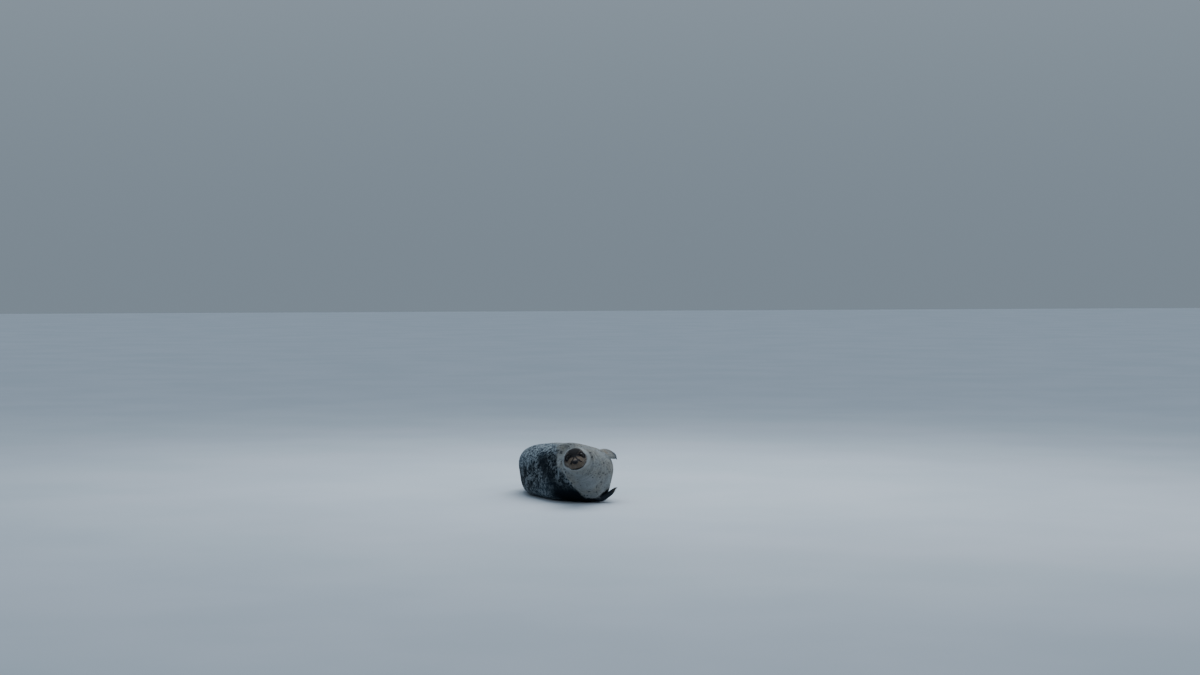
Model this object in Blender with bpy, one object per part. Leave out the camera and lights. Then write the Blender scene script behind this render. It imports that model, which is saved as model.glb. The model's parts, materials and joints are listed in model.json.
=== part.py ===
"""A spotted seal at rest on its right side, life size, as faceted solids.

Metres, +Z up. The seal lies along Y with its head towards -Y, its back towards -X and its belly towards +X.
Its head is held nearly upright, and its hind flippers trail towards +Y. The floor is at Z = 0.

The body is one smooth tube round a curved spine, from the nose to the rump. A few landmarks describe it, each
with its place, its girth and its roll, and thin cuts part it into head, neck, chest, belly and rump. Flippers
and tail are paddles that grow out of the tube. What sags below the floor is flattened onto it, as fat is.
"""

import math

import bmesh
import bpy
import numpy as np
from mathutils import Vector

# ---------------------------------------------------------------- driving dimensions

WELD = 0.00002  # corners nearer than this are one
GAP = 0.0004  # between neighbouring solids
SIDES = 40  # corners of a ring of the body
SAG_ROUNDING = 0.012  # height over which a flattened side curves away from the floor

# Landmarks of the body from nose to rump: where the spine is, how far the surface is from it to each side, to
# the back and to the belly, and the roll in degrees (0 is upright, 90 is lying on the right side).
LANDMARKS = {
    "nose_tip": ((-0.130, -0.810, 0.263), 0.000, 0.000, 0.000, 13),
    "lips": ((-0.128, -0.806, 0.264), 0.021, 0.016, 0.021, 13),
    "muzzle": ((-0.125, -0.794, 0.265), 0.034, 0.023, 0.035, 13),
    "whisker_pads": ((-0.119, -0.772, 0.268), 0.045, 0.029, 0.046, 13),
    "muzzle_root": ((-0.113, -0.749, 0.272), 0.050, 0.040, 0.051, 13),
    "eyes": ((-0.106, -0.724, 0.275), 0.062, 0.055, 0.057, 13),
    "cheeks": ((-0.097, -0.688, 0.276), 0.079, 0.068, 0.066, 14),
    "crown": ((-0.085, -0.651, 0.274), 0.085, 0.073, 0.074, 16),
    "nape": ((-0.070, -0.609, 0.264), 0.086, 0.076, 0.086, 22),
    "collar": ((-0.051, -0.564, 0.245), 0.104, 0.093, 0.110, 35),
    "neck_root": ((-0.026, -0.509, 0.217), 0.137, 0.129, 0.142, 52),
    "shoulders": ((0.000, -0.438, 0.185), 0.165, 0.173, 0.180, 67),
    "chest": ((0.008, -0.324, 0.163), 0.179, 0.201, 0.209, 78),
    "ribs": ((-0.015, -0.172, 0.159), 0.179, 0.205, 0.203, 86),
    "belly": ((-0.051, -0.001, 0.156), 0.172, 0.198, 0.182, 90),
    "loins": ((-0.070, 0.170, 0.148), 0.162, 0.171, 0.148, 96),
    "hips": ((-0.072, 0.332, 0.116), 0.125, 0.123, 0.101, 96),
    "rump": ((-0.053, 0.455, 0.085), 0.093, 0.074, 0.061, 94),
    "ankles": ((-0.030, 0.531, 0.072), 0.077, 0.048, 0.042, 90),
    "rump_end": ((-0.009, 0.588, 0.068), 0.070, 0.034, 0.032, 90),
}
END_ROUNDING = 0.042  # length over which the rump closes
TIP_RING = 0.0012  # distance of the first and last ring from the body's ends
SQUARER = 0.14  # share by which the fat trunk's section is fuller at its corners than an ellipse

# Where thin cuts part the body: first landmark, last landmark, spacing of the rings.
BODY_PARTS = {
    "head": ("nose_tip", "nape", 0.0135),
    "neck": ("nape", "shoulders", 0.025),
    "chest": ("shoulders", "ribs", 0.040),
    "belly": ("ribs", "loins", 0.056),
    "rump": ("loins", "rump_end", 0.046),
}

EYE_RADIUS = 0.0175
EYE_BEHIND_NOSE = 0.080  # along the spine
EYE_ANGLE = 50  # degrees from the top of the head, to either side
EYE_DEPTH = 0.0100  # of its centre under the surface

MOUTH_BELOW_AXIS = 0.022  # mouth line under the head's axis, at its corner
MOUTH_RISE = 7  # degrees that the mouth line climbs towards its corner
MOUTH_CORNER = 0.082  # behind the nose tip
JAW_SLANT = 20  # degrees that the jaw's rear edge leans towards the throat
JAW_REACH = 0.120  # how far the block that parts the jaw reaches, more than the jaw

NOSE_SIZE = (0.0175, 0.0160, 0.0130)  # half-sizes: across, along, high
NOSE_ABOVE_AXIS = 0.011
NOSE_BEHIND_TIP = 0.008
NOSE_PROUD = 0.0010  # how far it stands out of the fur

# Flippers and tail: points of the middle line from root to tip, the direction across, and then for shares of
# the length the half width and the half thickness. Claws are numbered from the leading edge.
FORE_PROFILE = (
    (0, 0.042, 0.025),
    (0.3, 0.043, 0.020),
    (0.6, 0.042, 0.013),
    (0.85, 0.039, 0.009),
    (1, 0.034, 0.006),
)
HIND_PROFILE = (
    (0, 0.032, 0.028),
    (0.25, 0.034, 0.025),
    (0.5, 0.044, 0.015),
    (0.8, 0.070, 0.009),
    (1, 0.087, 0.005),
)
DIGITS = 5
FORE_CLAW = 0.023  # length beyond its root
HIND_CLAW = 0.014
FORE_DIGITS = (1.00, 1.00, 0.96, 0.90, 0.83)  # how far each digit reaches, as a share of the length
HIND_DIGITS = (1.00, 0.88, 0.80, 0.87, 0.98)
FLIPPERS = {
    "fore_flipper_left": {
        "path": (
            (0.068, -0.462, 0.262),
            (0.128, -0.427, 0.282),
            (0.190, -0.384, 0.285),
            (0.247, -0.341, 0.264),
        ),
        "across": (0.38, -0.68, -0.62),
        "profile": FORE_PROFILE,
        "digits": FORE_DIGITS,
        "claw": FORE_CLAW,
    },
    "fore_flipper_right": {
        "path": (
            (0.054, -0.471, 0.043),
            (0.106, -0.476, 0.025),
            (0.156, -0.480, 0.046),
            (0.200, -0.484, 0.080),
        ),
        "across": (0.05, -0.98, 0.10),
        "profile": FORE_PROFILE,
        "digits": FORE_DIGITS,
        "claw": FORE_CLAW,
    },
    "hind_flipper_left": {
        "path": (
            (-0.023, 0.521, 0.106),
            (-0.007, 0.588, 0.103),
            (0.016, 0.692, 0.086),
            (0.034, 0.802, 0.059),
        ),
        "across": (-0.99, 0.0, 0.12),
        "profile": HIND_PROFILE,
        "digits": HIND_DIGITS,
        "claw": HIND_CLAW,
    },
    "hind_flipper_right": {
        "path": (
            (-0.023, 0.521, 0.032),
            (-0.004, 0.588, 0.025),
            (0.029, 0.692, 0.013),
            (0.063, 0.792, 0.008),
        ),
        "across": (-0.99, 0.0, -0.02),
        "profile": HIND_PROFILE,
        "digits": HIND_DIGITS,
        "claw": HIND_CLAW,
    },
}
NOTCH = 0.05  # share of a flipper's length by which the web falls back between digits
DIGIT_RIDGE = 0.28  # share by which a digit is thicker than the web beside it
EDGE_THICKNESS = 0.3  # of a paddle at its two edges, as a share of its thickness in the middle
FLIPPER_RINGS = 10

CLAW_RADIUS = 0.0038  # of a fore claw, at its root
CLAW_SIDES = 6
CLAW_RINGS = (-0.25, 0.1, 0.6, 1.0)  # shares of the length, of which the first is inside the digit
CLAW_TAPER = 0.85  # share of the radius lost at the tip
CLAW_NARROWER = 0.8  # width for a height of 1
CLAW_ROOT_AT = 0.97  # share of the digit's length
CLAW_ABOVE_MIDDLE = 0.25  # share of the digit's half thickness
CLAW_SPREAD = 0.25  # how far the outer claws turn outwards
CLAW_DROOP = 0.30  # share of a claw's length by which its tip hooks down

TAIL = {
    "path": (
        (-0.038, 0.521, 0.071),
        (-0.054, 0.574, 0.071),
        (-0.061, 0.621, 0.068),
        (-0.064, 0.659, 0.066),
    ),
    "across": (0.05, 0.0, 1.0),
    "profile": ((0, 0.021, 0.014), (0.4, 0.020, 0.012), (0.8, 0.016, 0.009), (1, 0.009, 0.005)),
}
TAIL_RINGS = 7
TAIL_COLUMNS = 7

COAT_DARK = (0.045, 0.055, 0.065, 1)
COAT_PALE = (0.42, 0.42, 0.40, 1)
COAT_GREY = (0.16, 0.17, 0.18, 1)
SKIN_DARK = (0.06, 0.058, 0.06, 1)
BARE_BLACK = (0.012, 0.012, 0.014, 1)
HORN = (0.10, 0.085, 0.07, 1)


# ---------------------------------------------------------------- curves

def slopes_of(at, values):
    """Slope at each landmark for a curve that doesn't overshoot between landmarks."""
    step = np.diff(at)[:, None]
    rise = np.diff(values, axis=0) / step
    slope = np.zeros_like(values)
    before, after = rise[:-1], rise[1:]
    w1 = 2 * step[1:] + step[:-1]
    w2 = step[1:] + 2 * step[:-1]
    same_way = before * after > 0
    safe_before = np.where(same_way, before, 1)
    safe_after = np.where(same_way, after, 1)
    slope[1:-1] = np.where(same_way, (w1 + w2) / (w1 / safe_before + w2 / safe_after), 0)
    slope[0], slope[-1] = rise[0], rise[-1]
    return slope


def curve_through(at, values, slope=None):
    """A function that runs smoothly through values at the given distances."""
    at = np.asarray(at, float)
    values = np.asarray(values, float).reshape(len(at), -1)
    slope = slopes_of(at, values) if slope is None else slope

    def read(x):
        x = np.clip(np.atleast_1d(x), at[0], at[-1])
        i = np.clip(np.searchsorted(at, x, side="right") - 1, 0, len(at) - 2)
        h = (at[i + 1] - at[i])[:, None]
        t = (x - at[i])[:, None] / h
        return (
            (2 * t**3 - 3 * t**2 + 1) * values[i]
            + (t**3 - 2 * t**2 + t) * h * slope[i]
            + (3 * t**2 - 2 * t**3) * values[i + 1]
            + (t**3 - t**2) * h * slope[i + 1]
        )

    return read


def path_through(points):
    """A smooth path through points as a function of distance, with the distance of each point."""
    points = np.asarray(points, float)
    steps = np.linalg.norm(np.diff(points, axis=0), axis=1)
    at = np.concatenate([[0], np.cumsum(steps)])
    return curve_through(at, points, np.gradient(points, at, axis=0)), at


def unit(vectors):
    return vectors / np.linalg.norm(vectors, axis=-1, keepdims=True)


# ---------------------------------------------------------------- the body's tube

spine, landmark_at = path_through([row[0] for row in LANDMARKS.values()])
AT = dict(zip(LANDMARKS, landmark_at))
LENGTH = AT["rump_end"]
# Girths are read against the root of the distance, which makes the nose a round tip and not a cone.
girth = curve_through(np.sqrt(landmark_at), [row[1:4] for row in LANDMARKS.values()])
roll = curve_through(landmark_at, [row[4] for row in LANDMARKS.values()])
ANGLES = np.arange(SIDES) * 360 / SIDES


def frame_at(s):
    """Spine points with the unit vectors towards the tail, the back and the right side, at distances s."""
    s = np.atleast_1d(s)
    tail = unit(spine(s + 0.004) - spine(s - 0.004))
    up = unit(np.array([0, 0, 1.0]) - tail * tail[:, 2:3])
    level = np.cross(-tail, up)
    turn = np.radians(roll(s))
    return spine(s), tail, np.cos(turn) * up + np.sin(turn) * level, np.cos(turn) * level - np.sin(turn) * up


def hump(x, centre, width):
    """1 at the centre, falling smoothly to nothing at the width."""
    t = np.clip(np.abs(x - centre) / width, 0, 1)
    return (1 - t * t) ** 2


def ease(x, start, end):
    """0 before the start and 1 after the end, with a smooth rise between."""
    t = np.clip((x - start) / (end - start), 0, 1)
    return t * t * (3 - 2 * t)


def relief(s, angle):
    """How far the surface stands out of the plain tube. The angle is 0 at the back and 180 at the belly."""
    side = np.abs((angle + 180) % 360 - 180)
    pads = 0.0055 * hump(s, 0.030, 0.032) * hump(side, 112, 58)
    chin = 0.0030 * hump(s, 0.028, 0.028) * hump(side, 180, 40)
    bridge = 0.0020 * hump(s, 0.042, 0.042) * hump(side, 0, 40)
    brow = 0.0045 * hump(s, AT["eyes"] + 0.004, 0.028) * hump(side, 32, 26)
    socket = -0.0045 * hump(s, EYE_BEHIND_NOSE - 0.004, 0.022) * hump(side, EYE_ANGLE + 3, 30)
    crease = -0.0055 * hump(s, AT["nape"] + 0.006, 0.020)
    fold = 0.0075 * hump(s, AT["collar"] - 0.008, 0.032)
    second_fold = 0.0055 * hump(s, AT["neck_root"] - 0.006, 0.038) * hump(side, 150, 100)
    return pads + chin + bridge + brow + socket + crease + fold + second_fold


def settle(points):
    """Flattens what sags below the floor onto it, with a rounded edge."""
    z = points[..., 2]
    curved = (z + SAG_ROUNDING) ** 2 / (4 * SAG_ROUNDING)
    points[..., 2] = np.where(z <= -SAG_ROUNDING, 0, np.where(z < SAG_ROUNDING, curved, z))
    return points


def body_points(s, angle, swell=0.0):
    """Points on the body's surface: one row for each distance s, one column for each angle in degrees."""
    s, angle = np.atleast_1d(s).astype(float), np.atleast_1d(angle).astype(float)
    here, _, back, right = frame_at(s)
    closing = np.clip((s - (LENGTH - END_ROUNDING)) / END_ROUNDING, 0, 1)
    size = girth(np.sqrt(s)) * np.sqrt(1 - closing**2)[:, None]
    turn = np.radians(angle)[None, :]
    reach = np.where(np.cos(turn) > 0, size[:, 1:2], size[:, 2:3])
    fuller = 1 + SQUARER * ease(s, AT["collar"], AT["chest"])[:, None] * np.sin(2 * turn) ** 2
    out = np.stack([np.cos(turn) * reach * fuller, np.sin(turn) * size[:, 0:1] * fuller], axis=2)
    plain = np.linalg.norm(out, axis=2, keepdims=True)
    raised = (relief(s[:, None], angle[None, :]) + swell)[..., None] * np.minimum(1, plain / 0.02)
    out = out * (1 + raised / np.maximum(plain, 1e-9))
    points = settle(here[:, None] + out[..., 0:1] * back[:, None] + out[..., 1:2] * right[:, None])
    points[..., 2] -= np.where(points[..., 2] < SAG_ROUNDING, swell, 0)
    return points


# ---------------------------------------------------------------- meshes

def material(name, colour, roughness):
    made = bpy.data.materials.get(name) or bpy.data.materials.new(name)
    made.use_nodes = True
    shader = made.node_tree.nodes["Principled BSDF"]
    shader.inputs["Base Color"].default_value = colour
    shader.inputs["Roughness"].default_value = roughness
    return made


def new_object(name, points, faces, look):
    """A closed solid with its faces turned outwards."""
    work = bmesh.new()
    corners = [work.verts.new(Vector(point)) for point in points]
    for face in faces:
        work.faces.new([corners[i] for i in face])
    bmesh.ops.recalc_face_normals(work, faces=work.faces)
    mesh = bpy.data.meshes.new(name)
    work.to_mesh(mesh)
    work.free()
    mesh.materials.append(look)
    mesh.shade_smooth()
    made = bpy.data.objects.new(name, mesh)
    bpy.context.scene.collection.objects.link(made)
    return made


def tube(name, rings, look, flat=False):
    """A solid from rings of points. Its ends are fans round their middle, or on a flat tube strips across."""
    rings = np.asarray(rings)
    count, sides = rings.shape[:2]
    points = list(rings.reshape(-1, 3))
    faces = []
    for i in range(count - 1):
        for k in range(sides):
            a, b = i * sides + k, i * sides + (k + 1) % sides
            faces.append((a, b, b + sides, a + sides))
    for start in (0, (count - 1) * sides):
        if flat:
            over = range(start, start + sides // 2 - 1)
            last = 2 * start + sides - 1
            faces += [(k, k + 1, last - k - 1, last - k) for k in over]
        else:
            faces += [(start + k, start + (k + 1) % sides, len(points)) for k in range(sides)]
            points.append(rings[start // sides].mean(axis=0))
    return new_object(name, points, faces, look)


def ellipsoid(name, centre, axes, sizes, look, around=16, levels=9):
    """A closed ellipsoid on the given axes. The second axis runs through its poles."""
    turn = np.arange(around) * 2 * math.pi / around
    rings = []
    for level in np.linspace(0.04, math.pi - 0.04, levels):
        across = np.outer(np.cos(turn) * math.sin(level) * sizes[0], axes[0])
        high = np.outer(np.sin(turn) * math.sin(level) * sizes[2], axes[2])
        rings.append(centre + across + high - math.cos(level) * sizes[1] * axes[1])
    return tube(name, rings, look)


def boolean(target, operation, tool):
    """Applies one Boolean to the target at once, so that cuts follow the order of the calls."""
    cut = target.modifiers.new(operation.lower(), "BOOLEAN")
    cut.operation = operation
    cut.solver = "EXACT"
    cut.object = tool
    graph = bpy.context.evaluated_depsgraph_get()
    mesh = bpy.data.meshes.new_from_object(target.evaluated_get(graph), depsgraph=graph)
    target.modifiers.remove(cut)
    old, target.data = target.data, mesh
    bpy.data.meshes.remove(old)


def weld(target):
    """Joins corners that a cut left almost together and drops the folded leaves that this makes."""
    work = bmesh.new()
    work.from_mesh(target.data)
    bmesh.ops.triangulate(work, faces=work.faces)
    bmesh.ops.remove_doubles(work, verts=work.verts, dist=WELD)
    work.verts.index_update()
    alike = {}
    for face in work.faces:
        alike.setdefault(frozenset(corner.index for corner in face.verts), []).append(face)
    doubled = [face for faces in alike.values() if len(faces) > 1 for face in faces]
    bmesh.ops.delete(work, geom=doubled, context="FACES")
    work.to_mesh(target.data)
    work.free()


def cut_away(target, *tools):
    """Cuts helper solids out of the target and removes them."""
    for tool in tools:
        boolean(target, "DIFFERENCE", tool)
        bpy.data.objects.remove(tool)
    weld(target)


# ---------------------------------------------------------------- head, neck and trunk

def ring_places(start, end, spacing, crowd_start, crowd_end):
    """Distances of a part's rings, closer together towards an end that closes to a tip."""
    share = np.linspace(0, 1, max(4, round((end - start) / spacing)) + 1)
    tip = TIP_RING / (end - start)
    if crowd_start:
        share = np.maximum(share**1.35, tip)
    if crowd_end:
        share = np.minimum(1 - (1 - share) ** 1.3, 1 - tip)
    return start + share * (end - start)


def part_places(name):
    """Distances along the body of the rings of one of its parts, which ends half a gap inside its cuts."""
    first, last, spacing = BODY_PARTS[name]
    tip, end = first == "nose_tip", last == "rump_end"
    start = AT[first] + (0 if tip else GAP / 2)
    stop = AT[last] - (0 if end else GAP / 2)
    return ring_places(start, stop, spacing, tip, end)


def body_part(name, look):
    """A length of the body between two cuts."""
    return tube(name, body_points(part_places(name), ANGLES), look)


def envelope(names, swell, look):
    """A helper solid larger all round than body parts that follow each other."""
    places = np.concatenate([part_places(name) for name in names])
    if BODY_PARTS[names[0]][0] != "nose_tip":
        places[0] -= swell
    if BODY_PARTS[names[-1]][1] != "rump_end":
        places[-1] += swell
    return tube("envelope", body_points(places, ANGLES, swell), look)


def on_head(s, angle, depth):
    """A point under the head's surface by depth, straight in from the surface."""
    surface = body_points(s, angle)[0, 0]
    lengthwise = body_points(s + 0.003, angle)[0, 0] - body_points(s - 0.003, angle)[0, 0]
    crosswise = body_points(s, angle + 3)[0, 0] - body_points(s, angle - 3)[0, 0]
    out = unit(np.cross(lengthwise, crosswise))
    if out @ (surface - spine(s)[0]) < 0:
        out = -out
    return surface - out * depth


def jaw_block(name, gap, look):
    """The lower jaw's space, under the mouth line and ahead of the jaw's rear edge, larger by the gap."""
    _, tail, top, right = (vectors[0] for vectors in frame_at(AT["whisker_pads"]))
    rise, slant = math.radians(MOUTH_RISE), math.radians(JAW_SLANT)
    forward = -tail * math.cos(rise) - top * math.sin(rise)
    down = -top * math.cos(slant) + tail * math.sin(slant)
    corner = spine(MOUTH_CORNER)[0] - top * (MOUTH_BELOW_AXIS - gap) - forward * gap
    points = []
    for side in (-1, 1):
        near = corner + right * side * JAW_REACH
        ahead = forward * JAW_REACH
        points += [near, near + ahead, near + ahead + down * JAW_REACH, near + down * JAW_REACH]
    faces = [(0, 1, 2, 3), (4, 7, 6, 5), (0, 4, 5, 1), (1, 5, 6, 2), (2, 6, 7, 3), (3, 7, 4, 0)]
    return new_object(name, points, faces, look)


def make_nose(head, bare, spare):
    """The bare nose pad fills a hollow at the top of the muzzle's end and stands a little proud."""
    _, tail, top, right = (vectors[0] for vectors in frame_at(AT["lips"]))
    centre = spine(NOSE_BEHIND_TIP)[0] + top * NOSE_ABOVE_AXIS
    nose = ellipsoid("nose", centre, (right, tail, top), NOSE_SIZE, bare)
    muzzle = envelope(("head",), NOSE_PROUD, spare)
    boolean(nose, "INTERSECT", muzzle)
    bpy.data.objects.remove(muzzle)
    hollow_size = [size + GAP for size in NOSE_SIZE]
    cut_away(head, ellipsoid("hollow", centre, (right, tail, top), hollow_size, spare))


def make_eyes(head, wet, spare):
    """Each eye is a whole ball, deep in its socket, that shows only a cap."""
    for name, side in (("eye_left", -1), ("eye_right", 1)):
        centre = on_head(EYE_BEHIND_NOSE, side * EYE_ANGLE, EYE_DEPTH)
        _, tail, top, right = (vectors[0] for vectors in frame_at(EYE_BEHIND_NOSE))
        axes = (right, top, tail)
        ellipsoid(name, centre, axes, [EYE_RADIUS] * 3, wet)
        cut_away(head, ellipsoid("hollow", centre, axes, [EYE_RADIUS + GAP] * 3, spare))


def make_head(coat, bare, wet, spare):
    head = body_part("head", coat)
    make_nose(head, bare, spare)
    make_eyes(head, wet, spare)
    jaw = head.copy()
    jaw.data = head.data.copy()
    jaw.name = "lower_jaw"
    bpy.context.scene.collection.objects.link(jaw)
    space = jaw_block("space", 0, spare)
    boolean(jaw, "INTERSECT", space)
    bpy.data.objects.remove(space)
    cut_away(head, jaw_block("cut", GAP, spare))


# ---------------------------------------------------------------- flippers, tail and claws

def paddle_frame(shape):
    """Functions of the share of a paddle's length: middle line, direction across and half sizes."""
    middle, at = path_through(shape["path"])
    length = at[-1]
    profile = np.array(shape["profile"])
    sizes = curve_through(profile[:, 0], profile[:, 1:])

    def read(t):
        t = np.atleast_1d(t)
        ahead = unit(middle(t * length + 0.002) - middle(t * length - 0.002))
        across = np.array(shape["across"])
        across = unit(across - ahead * (ahead @ across)[:, None])
        return middle(t * length), ahead, across, np.cross(ahead, across), sizes(t)

    return read, length


def digit_places(count):
    """Where each digit runs across a paddle, from -1 at one edge to 1 at the other."""
    return (np.arange(count) + 0.5) / count * 2 - 1


def paddle_points(shape, shares, across, thickness=1.0):
    """Points of a paddle at shares of its length and at places across it, on one of its two faces."""
    read, _ = paddle_frame(shape)
    digits = shape.get("digits")
    rows = []
    for share in shares:
        reach = np.ones_like(across)
        ridge = np.zeros_like(across)
        if digits:
            lengths = curve_through(digit_places(len(digits)), np.array(digits)[:, None])(across)[:, 0]
            wave = (1 - np.cos(np.radians((across + 1) / 2 * len(digits) * 360))) / 2
            reach = lengths - NOTCH * (1 - wave) * share**6
            ridge = DIGIT_RIDGE * (wave - 0.5) * np.clip((share - 0.25) / 0.4, 0, 1)
        here, _, wide, face, size = read(share * reach)
        bulge = EDGE_THICKNESS + (1 - EDGE_THICKNESS) * np.sqrt(1 - np.abs(across) ** 3)
        out = (size[:, 1] * thickness * bulge * (1 + ridge))[:, None]
        rows.append(here + wide * (across * size[:, 0])[:, None] + face * out)
    return np.array(rows)


def paddle(name, shape, look, rings, columns):
    """A flat limb: rings of points round it, over one face and back under the other, closed at both ends."""
    across = np.linspace(-1, 1, columns)
    shares = np.linspace(0, 1, rings)
    over = paddle_points(shape, shares, across)
    under = paddle_points(shape, shares, across, -1.0)
    return tube(name, settle(np.concatenate([over, under[:, ::-1]], axis=1)), look, flat=True)


def claw_rings(shape, index, swell=0.0):
    """Rings of a curved claw from its root in the digit to its hooked tip, larger all round by the swell."""
    read, _ = paddle_frame(shape)
    place = digit_places(DIGITS)[index]
    here, ahead, wide, face, size = (value[0] for value in read(shape["digits"][index] * CLAW_ROOT_AT))
    up = face if face[2] > 0 else -face
    root = here + wide * place * size[0] + up * size[1] * CLAW_ABOVE_MIDDLE
    length = shape["claw"]
    forward = unit(ahead + wide * place * CLAW_SPREAD) * length
    radius = CLAW_RADIUS * (1 + length / FORE_CLAW) / 2
    turn = np.arange(CLAW_SIDES) * 2 * math.pi / CLAW_SIDES
    rings = []
    for share in CLAW_RINGS:
        past = max(share, 0)
        middle = root + forward * share - up * CLAW_DROOP * length * past**2
        thick = radius * (1 - CLAW_TAPER * past**1.5) + swell
        across = np.outer(np.cos(turn) * thick * CLAW_NARROWER, wide)
        rings.append(middle + across + np.outer(np.sin(turn) * thick, up))
    rings[0] = rings[0] - unit(forward) * swell
    return rings


def make_limbs(coat, skin, horn, spare):
    """Flippers and tail grow out of the trunk, parted from it by a gap that follows its surface."""
    for name, shape in FLIPPERS.items():
        fore = name.startswith("fore")
        flipper = paddle(name, shape, coat if fore else skin, FLIPPER_RINGS, 2 * DIGITS + 1)
        cut_away(flipper, envelope(("neck", "chest") if fore else ("rump",), GAP, spare))
        for index in range(DIGITS):
            tube(f"{name}_claw_{index + 1}", claw_rings(shape, index), horn)
            cut_away(flipper, tube("pit", claw_rings(shape, index, GAP), spare))
    tail = paddle("tail", TAIL, coat, TAIL_RINGS, TAIL_COLUMNS)
    cut_away(tail, envelope(("rump",), GAP, spare))


def main():
    for thing in list(bpy.data.objects):
        bpy.data.objects.remove(thing)
    pale = material("coat_pale", COAT_PALE, 0.8)
    dark = material("coat_dark", COAT_DARK, 0.75)
    grey = material("coat_grey", COAT_GREY, 0.8)
    skin = material("flipper_skin", SKIN_DARK, 0.6)
    bare = material("nose_skin", BARE_BLACK, 0.35)
    wet = material("eye", BARE_BLACK, 0.05)
    horn = material("claw_horn", HORN, 0.45)
    make_head(grey, bare, wet, pale)
    for name in ("neck", "chest", "belly", "rump"):
        body_part(name, dark)
    make_limbs(grey, skin, horn, pale)


main()
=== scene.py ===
# %% [markdown]
# # A spotted seal at rest
#
# A spotted seal lies on its right side and holds its head up. This lesson dresses the plain solids of its
# body: one skin over all the flesh, a short coat of flat tufts, wet eyes, a bare nose, claws and whiskers.
# Everything is in metres, +Z is up, the head is towards -Y, the back towards -X and the belly towards +X.
#
# The frame is loaded first. It gives the box and the parts that the eyes, the nose and the ends of the limbs
# are measured against.

# %% Load the frame
import json
import math

import bmesh
import bpy
import numpy as np
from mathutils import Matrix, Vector, noise
from mathutils.bvhtree import BVHTree
from mathutils.kdtree import KDTree

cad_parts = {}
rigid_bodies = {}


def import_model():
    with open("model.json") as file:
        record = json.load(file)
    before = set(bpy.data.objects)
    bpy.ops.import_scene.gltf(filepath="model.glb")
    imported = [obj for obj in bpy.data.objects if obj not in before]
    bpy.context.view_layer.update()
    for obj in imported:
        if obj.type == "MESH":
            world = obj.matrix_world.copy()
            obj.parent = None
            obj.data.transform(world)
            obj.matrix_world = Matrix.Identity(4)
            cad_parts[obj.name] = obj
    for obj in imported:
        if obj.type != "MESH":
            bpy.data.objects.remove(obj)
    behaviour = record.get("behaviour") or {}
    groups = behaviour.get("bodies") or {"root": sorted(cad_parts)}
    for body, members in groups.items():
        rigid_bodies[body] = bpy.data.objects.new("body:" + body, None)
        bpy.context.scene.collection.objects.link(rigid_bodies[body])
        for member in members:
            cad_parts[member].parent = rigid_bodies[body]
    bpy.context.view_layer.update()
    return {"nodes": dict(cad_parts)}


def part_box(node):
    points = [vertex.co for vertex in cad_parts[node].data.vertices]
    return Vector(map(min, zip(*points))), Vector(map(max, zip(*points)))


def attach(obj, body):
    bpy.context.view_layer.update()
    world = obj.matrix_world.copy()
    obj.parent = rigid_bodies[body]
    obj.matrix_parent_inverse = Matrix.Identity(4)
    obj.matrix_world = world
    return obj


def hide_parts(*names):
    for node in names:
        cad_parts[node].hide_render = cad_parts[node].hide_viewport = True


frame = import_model()

# %% [markdown]
# ## The body's rule
#
# A seal's body is one smooth tube round a curved spine, so a few landmarks describe it: where the spine is,
# how far the surface is from it to each side, to the back and to the belly, and how many degrees the section
# is rolled over. The solids were made from the same landmarks. Between landmarks the values run along smooth
# curves that don't overshoot, as fat over muscle does.

# %% Landmarks from nose to rump
LANDMARKS = {
    "nose_tip": ((-0.130, -0.810, 0.263), 0.000, 0.000, 0.000, 13),
    "lips": ((-0.128, -0.806, 0.264), 0.021, 0.016, 0.021, 13),
    "muzzle": ((-0.125, -0.794, 0.265), 0.034, 0.023, 0.035, 13),
    "whisker_pads": ((-0.119, -0.772, 0.268), 0.045, 0.029, 0.046, 13),
    "muzzle_root": ((-0.113, -0.749, 0.272), 0.050, 0.040, 0.051, 13),
    "eyes": ((-0.106, -0.724, 0.275), 0.062, 0.055, 0.057, 13),
    "cheeks": ((-0.097, -0.688, 0.276), 0.079, 0.068, 0.066, 14),
    "crown": ((-0.085, -0.651, 0.274), 0.085, 0.073, 0.074, 16),
    "nape": ((-0.070, -0.609, 0.264), 0.086, 0.076, 0.086, 22),
    "collar": ((-0.051, -0.564, 0.245), 0.104, 0.093, 0.110, 35),
    "neck_root": ((-0.026, -0.509, 0.217), 0.137, 0.129, 0.142, 52),
    "shoulders": ((0.000, -0.438, 0.185), 0.165, 0.173, 0.180, 67),
    "chest": ((0.008, -0.324, 0.163), 0.179, 0.201, 0.209, 78),
    "ribs": ((-0.015, -0.172, 0.159), 0.179, 0.205, 0.203, 86),
    "belly": ((-0.051, -0.001, 0.156), 0.172, 0.198, 0.182, 90),
    "loins": ((-0.070, 0.170, 0.148), 0.162, 0.171, 0.148, 96),
    "hips": ((-0.072, 0.332, 0.116), 0.125, 0.123, 0.101, 96),
    "rump": ((-0.053, 0.455, 0.085), 0.093, 0.074, 0.061, 94),
    "ankles": ((-0.030, 0.531, 0.072), 0.077, 0.048, 0.042, 90),
    "rump_end": ((-0.009, 0.588, 0.068), 0.070, 0.034, 0.032, 90),
}
END_ROUNDING = 0.042  # length over which the rump closes
SQUARER = 0.14  # share by which the fat trunk's section is fuller at its corners than an ellipse
SAG_ROUNDING = 0.012  # height over which the side that lies on the floor curves away from it
TINY = 1e-12  # keeps a division by a length from failing where the length is nothing


def unit(vectors):
    return vectors / np.maximum(np.linalg.norm(vectors, axis=-1, keepdims=True), TINY)


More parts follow.
